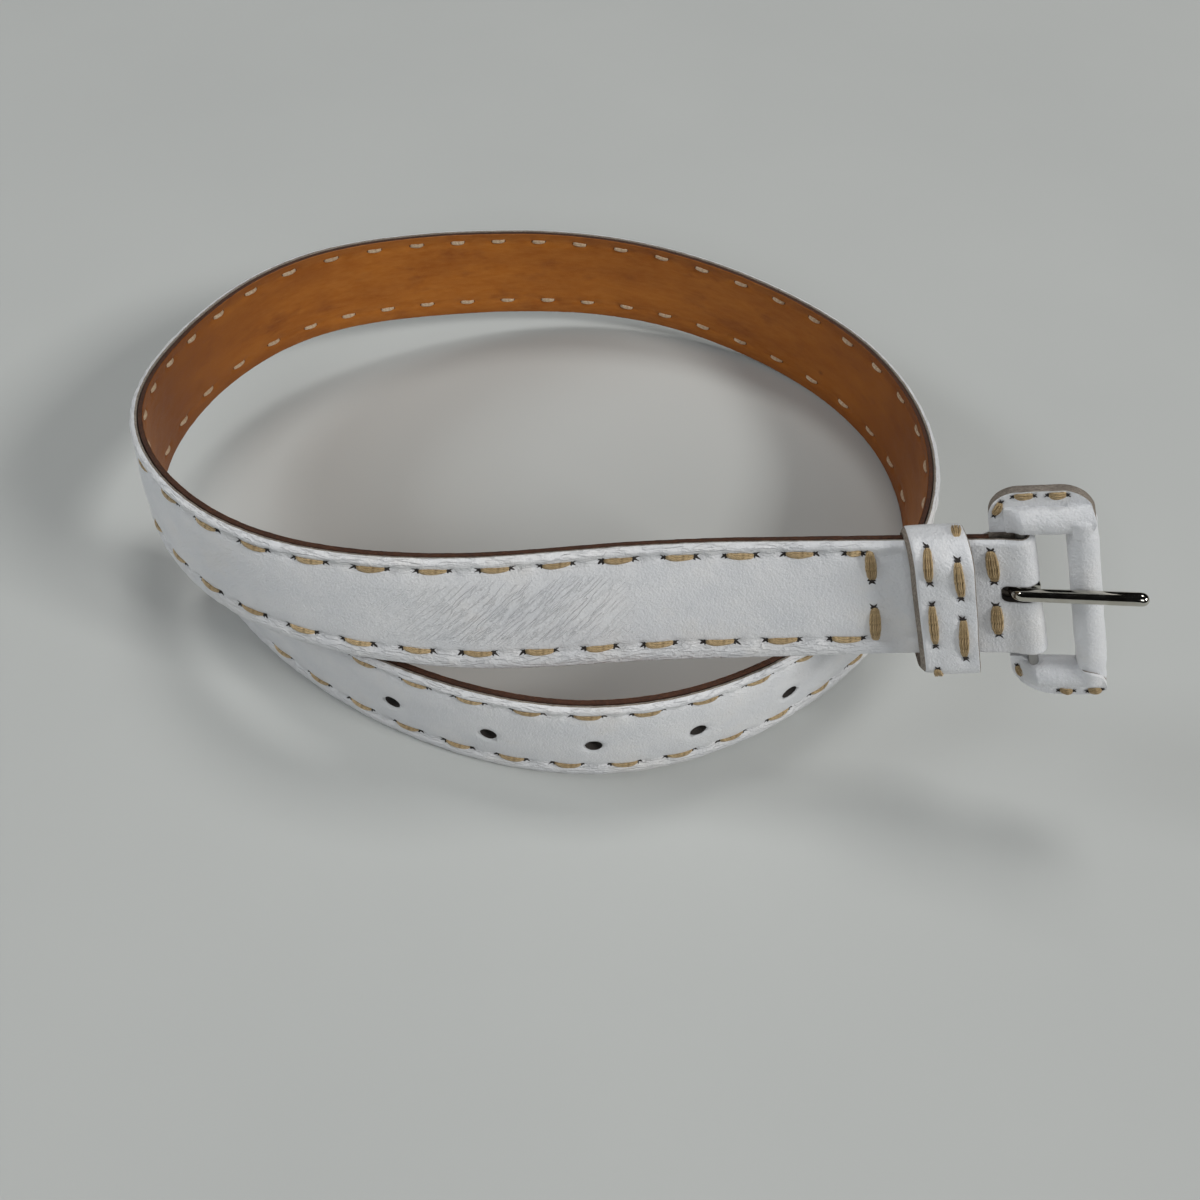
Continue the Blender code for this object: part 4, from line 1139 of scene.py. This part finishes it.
def prong():
    """The polished rod: a flattened eye round the heel bar, a straight shank and a round tip."""
    eye = WIRE_RADIUS + GAP + PRONG_RADIUS
    rest = END_BAR_RADIUS + GAP + PRONG_RADIUS
    tilt = math.atan2(rest, BAR_SPACING) - math.asin(eye / math.hypot(BAR_SPACING, rest))
    leave = math.pi / 2 - tilt
    turns = np.linspace(leave - math.radians(275), leave, 60)
    thinner = PRONG_EYE_THINNER * (1 - smooth_step(np.linspace(0, 1, len(turns)), 0.45, 1.0))
    bend = np.stack([(eye - thinner) * np.cos(turns), (eye - thinner) * np.sin(turns)], -1)
    rod = PRONG_REACH - PRONG_RADIUS
    tip = np.radians([12, 24, 36, 48, 60, 72, 82, 88])
    shank = np.linspace(0, rod, 24)[1:]
    ahead = np.concatenate([shank, rod + PRONG_RADIUS * np.sin(tip)])
    points = np.concatenate([bend, bend[-1] + ahead[:, None] * (-math.cos(tilt), math.sin(tilt))])
    size = np.concatenate([PRONG_RADIUS - thinner, PRONG_RADIUS + 0 * shank, PRONG_RADIUS * np.cos(tip)])
    line = np.pad(points, ((0, 0), (0, 1)))
    tangent = unit(np.gradient(line, axis=0))
    up = np.stack([-tangent[:, 1], tangent[:, 0], 0 * size], 1)
    across = np.tile([0.0, 0.0, 1.0], (len(line), 1))
    pile = Pile()
    pile.tube(line, size, size, across, up, twist=0.0, depth=0.0, sides=40)
    frame = PATH.frame(HEEL_BAR, PRONG_PLACE, BAR_DEPTH) @ Matrix.Rotation(math.radians(PRONG_SKEW), 4, "Y")
    world = through(frame, pile.points[0])
    return outward_object("prong_rod", world, pile.faces, pile.grain[0], pile.slots, (NICKEL,))


# ------------------------------------------------------------------ assembly


def show(piece, body, node):
    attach(piece, body)
    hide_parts(node)


def dress_frame(node):
    for k in range(len(node.data.materials)):
        node.data.materials[k] = STEEL
    node.data.shade_smooth()


def build_looks():
    """Every visible piece, with its body and the CAD node it stands for."""
    show(strap_outer(), "strap", "strap_outer")
    show(strap_lining(), "strap", "strap_lining")
    show(row_thread("upper_row_stitches", UPPER_ROW, 101), "strap", "upper_row_thread")
    show(row_thread("lower_row_stitches", LOWER_ROW, 102), "strap", "lower_row_thread")
    names = ("front_upper", "front_lower", "rear_upper", "rear_lower")
    for k, (place, stitch) in enumerate(zip(names, CROSS_STITCHES)):
        piece = cross_thread(f"cross_stitch_{place}", *stitch, 110 + k)
        show(piece, "strap", f"cross_thread_{place}")
    show(keeper_loop(), "keeper", "keeper_loop")
    for k, side in enumerate(KEEPER_ROWS):
        piece = keeper_thread(f"keeper_stitches_{side}", side, 120 + k)
        show(piece, "keeper", f"keeper_thread_{side}")
    for level, side in (("upper", 1), ("lower", -1)):
        show(side_cover(level, side), "buckle", f"side_cover_{level}")
        show(rim_thread(level, side, 130 + side), "buckle", f"side_cover_thread_{level}")
    show(end_bar(), "buckle", "end_bar_cover")
    show(prong(), "prong", "prong")
    dress_frame(frame["nodes"]["buckle_frame"])


FLOOR_REACH, FLOOR_LEVEL = 2.8, -0.0003
LIGHTS = {  # place, height aimed at over the origin, size, power and colour
    "left_window": ((-3.45, 0.30, 2.40), 0.02, (1.35, 1.05), 45.0, (0.95, 0.98, 1.0)),
    "right_lamp": ((3.15, -1.50, 2.55), 0.02, (1.20, 0.90), 99.0, (1.0, 0.99, 0.97)),
    "front_window": ((-0.75, -3.45, 2.85), 0.03, (3.0, 1.5), 38.0, (0.97, 0.98, 1.0)),
    "overhead": ((0.15, 1.35, 3.45), 0.02, (1.20, 0.90), 32.0, (1.0, 0.99, 0.97)),
}
ROOM, ROOM_IN_GLOSS, ROOM_SEEN = (0.055, 0.057, 0.059), (0.005, 0.005, 0.005), (0.42, 0.43, 0.42)


def area_light(name, place, aim, size, power, colour):
    data = bpy.data.lights.new(name, "AREA")
    data.shape, data.size, data.size_y = "RECTANGLE", *size
    data.energy, data.color = power, colour
    item = add_object(name, data)
    item.location = place
    item.rotation_euler = (Vector((0, 0, aim)) - Vector(place)).to_track_quat("-Z", "Y").to_euler()


def room():
    """A dim room, dimmer in reflections, and pale where the camera sees past the floor."""
    n = Nodes("room", bpy.data.worlds)
    ray = n.node("ShaderNodeLightPath").outputs
    colour = n.mix(ray["Is Glossy Ray"], ROOM, ROOM_IN_GLOSS)
    colour = n.mix(ray["Is Camera Ray"], colour, ROOM_SEEN)
    n.feed(n.tree.nodes["Background"].inputs["Color"], colour)
    bpy.context.scene.world = n.holder


def studio():
    """A pale floor and four soft lights in a dim room."""
    mesh = bpy.data.meshes.new("floor")
    corners = ((-1, -1), (1, -1), (1, 1), (-1, 1))
    mesh.from_pydata([(x * FLOOR_REACH, y * FLOOR_REACH, FLOOR_LEVEL) for x, y in corners], [], [range(4)])
    mesh.materials.append(floor_look())
    add_object("floor", mesh)
    room()
    bpy.context.scene.view_settings.view_transform = "Standard"
    for name, light in LIGHTS.items():
        area_light(name, *light)


LENS, SENSOR = 33.0, 36.0
SHIFT = (0.0308, -0.1508)
VIEWPOINT = (0.0086, -0.2133, 0.2622)
LOOK_DOWN, LOOK_ASIDE, ROLL = math.radians(46.31), math.radians(3.46), math.radians(-0.51)


def camera():
    """The viewpoint: from the front, well above, looking down at the coil."""
    data = bpy.data.cameras.new("camera")
    data.lens, data.sensor_width = LENS, SENSOR
    data.shift_x, data.shift_y = SHIFT
    data.clip_start = 0.01
    item = add_object("camera", data)
    item.location = VIEWPOINT
    turn = Matrix.Rotation(LOOK_ASIDE, 4, "Z") @ Matrix.Rotation(math.pi / 2 - LOOK_DOWN, 4, "X")
    item.rotation_euler = (turn @ Matrix.Rotation(ROLL, 4, "Z")).to_euler()
    bpy.context.scene.camera = item


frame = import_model()
build_looks()
studio()
camera()
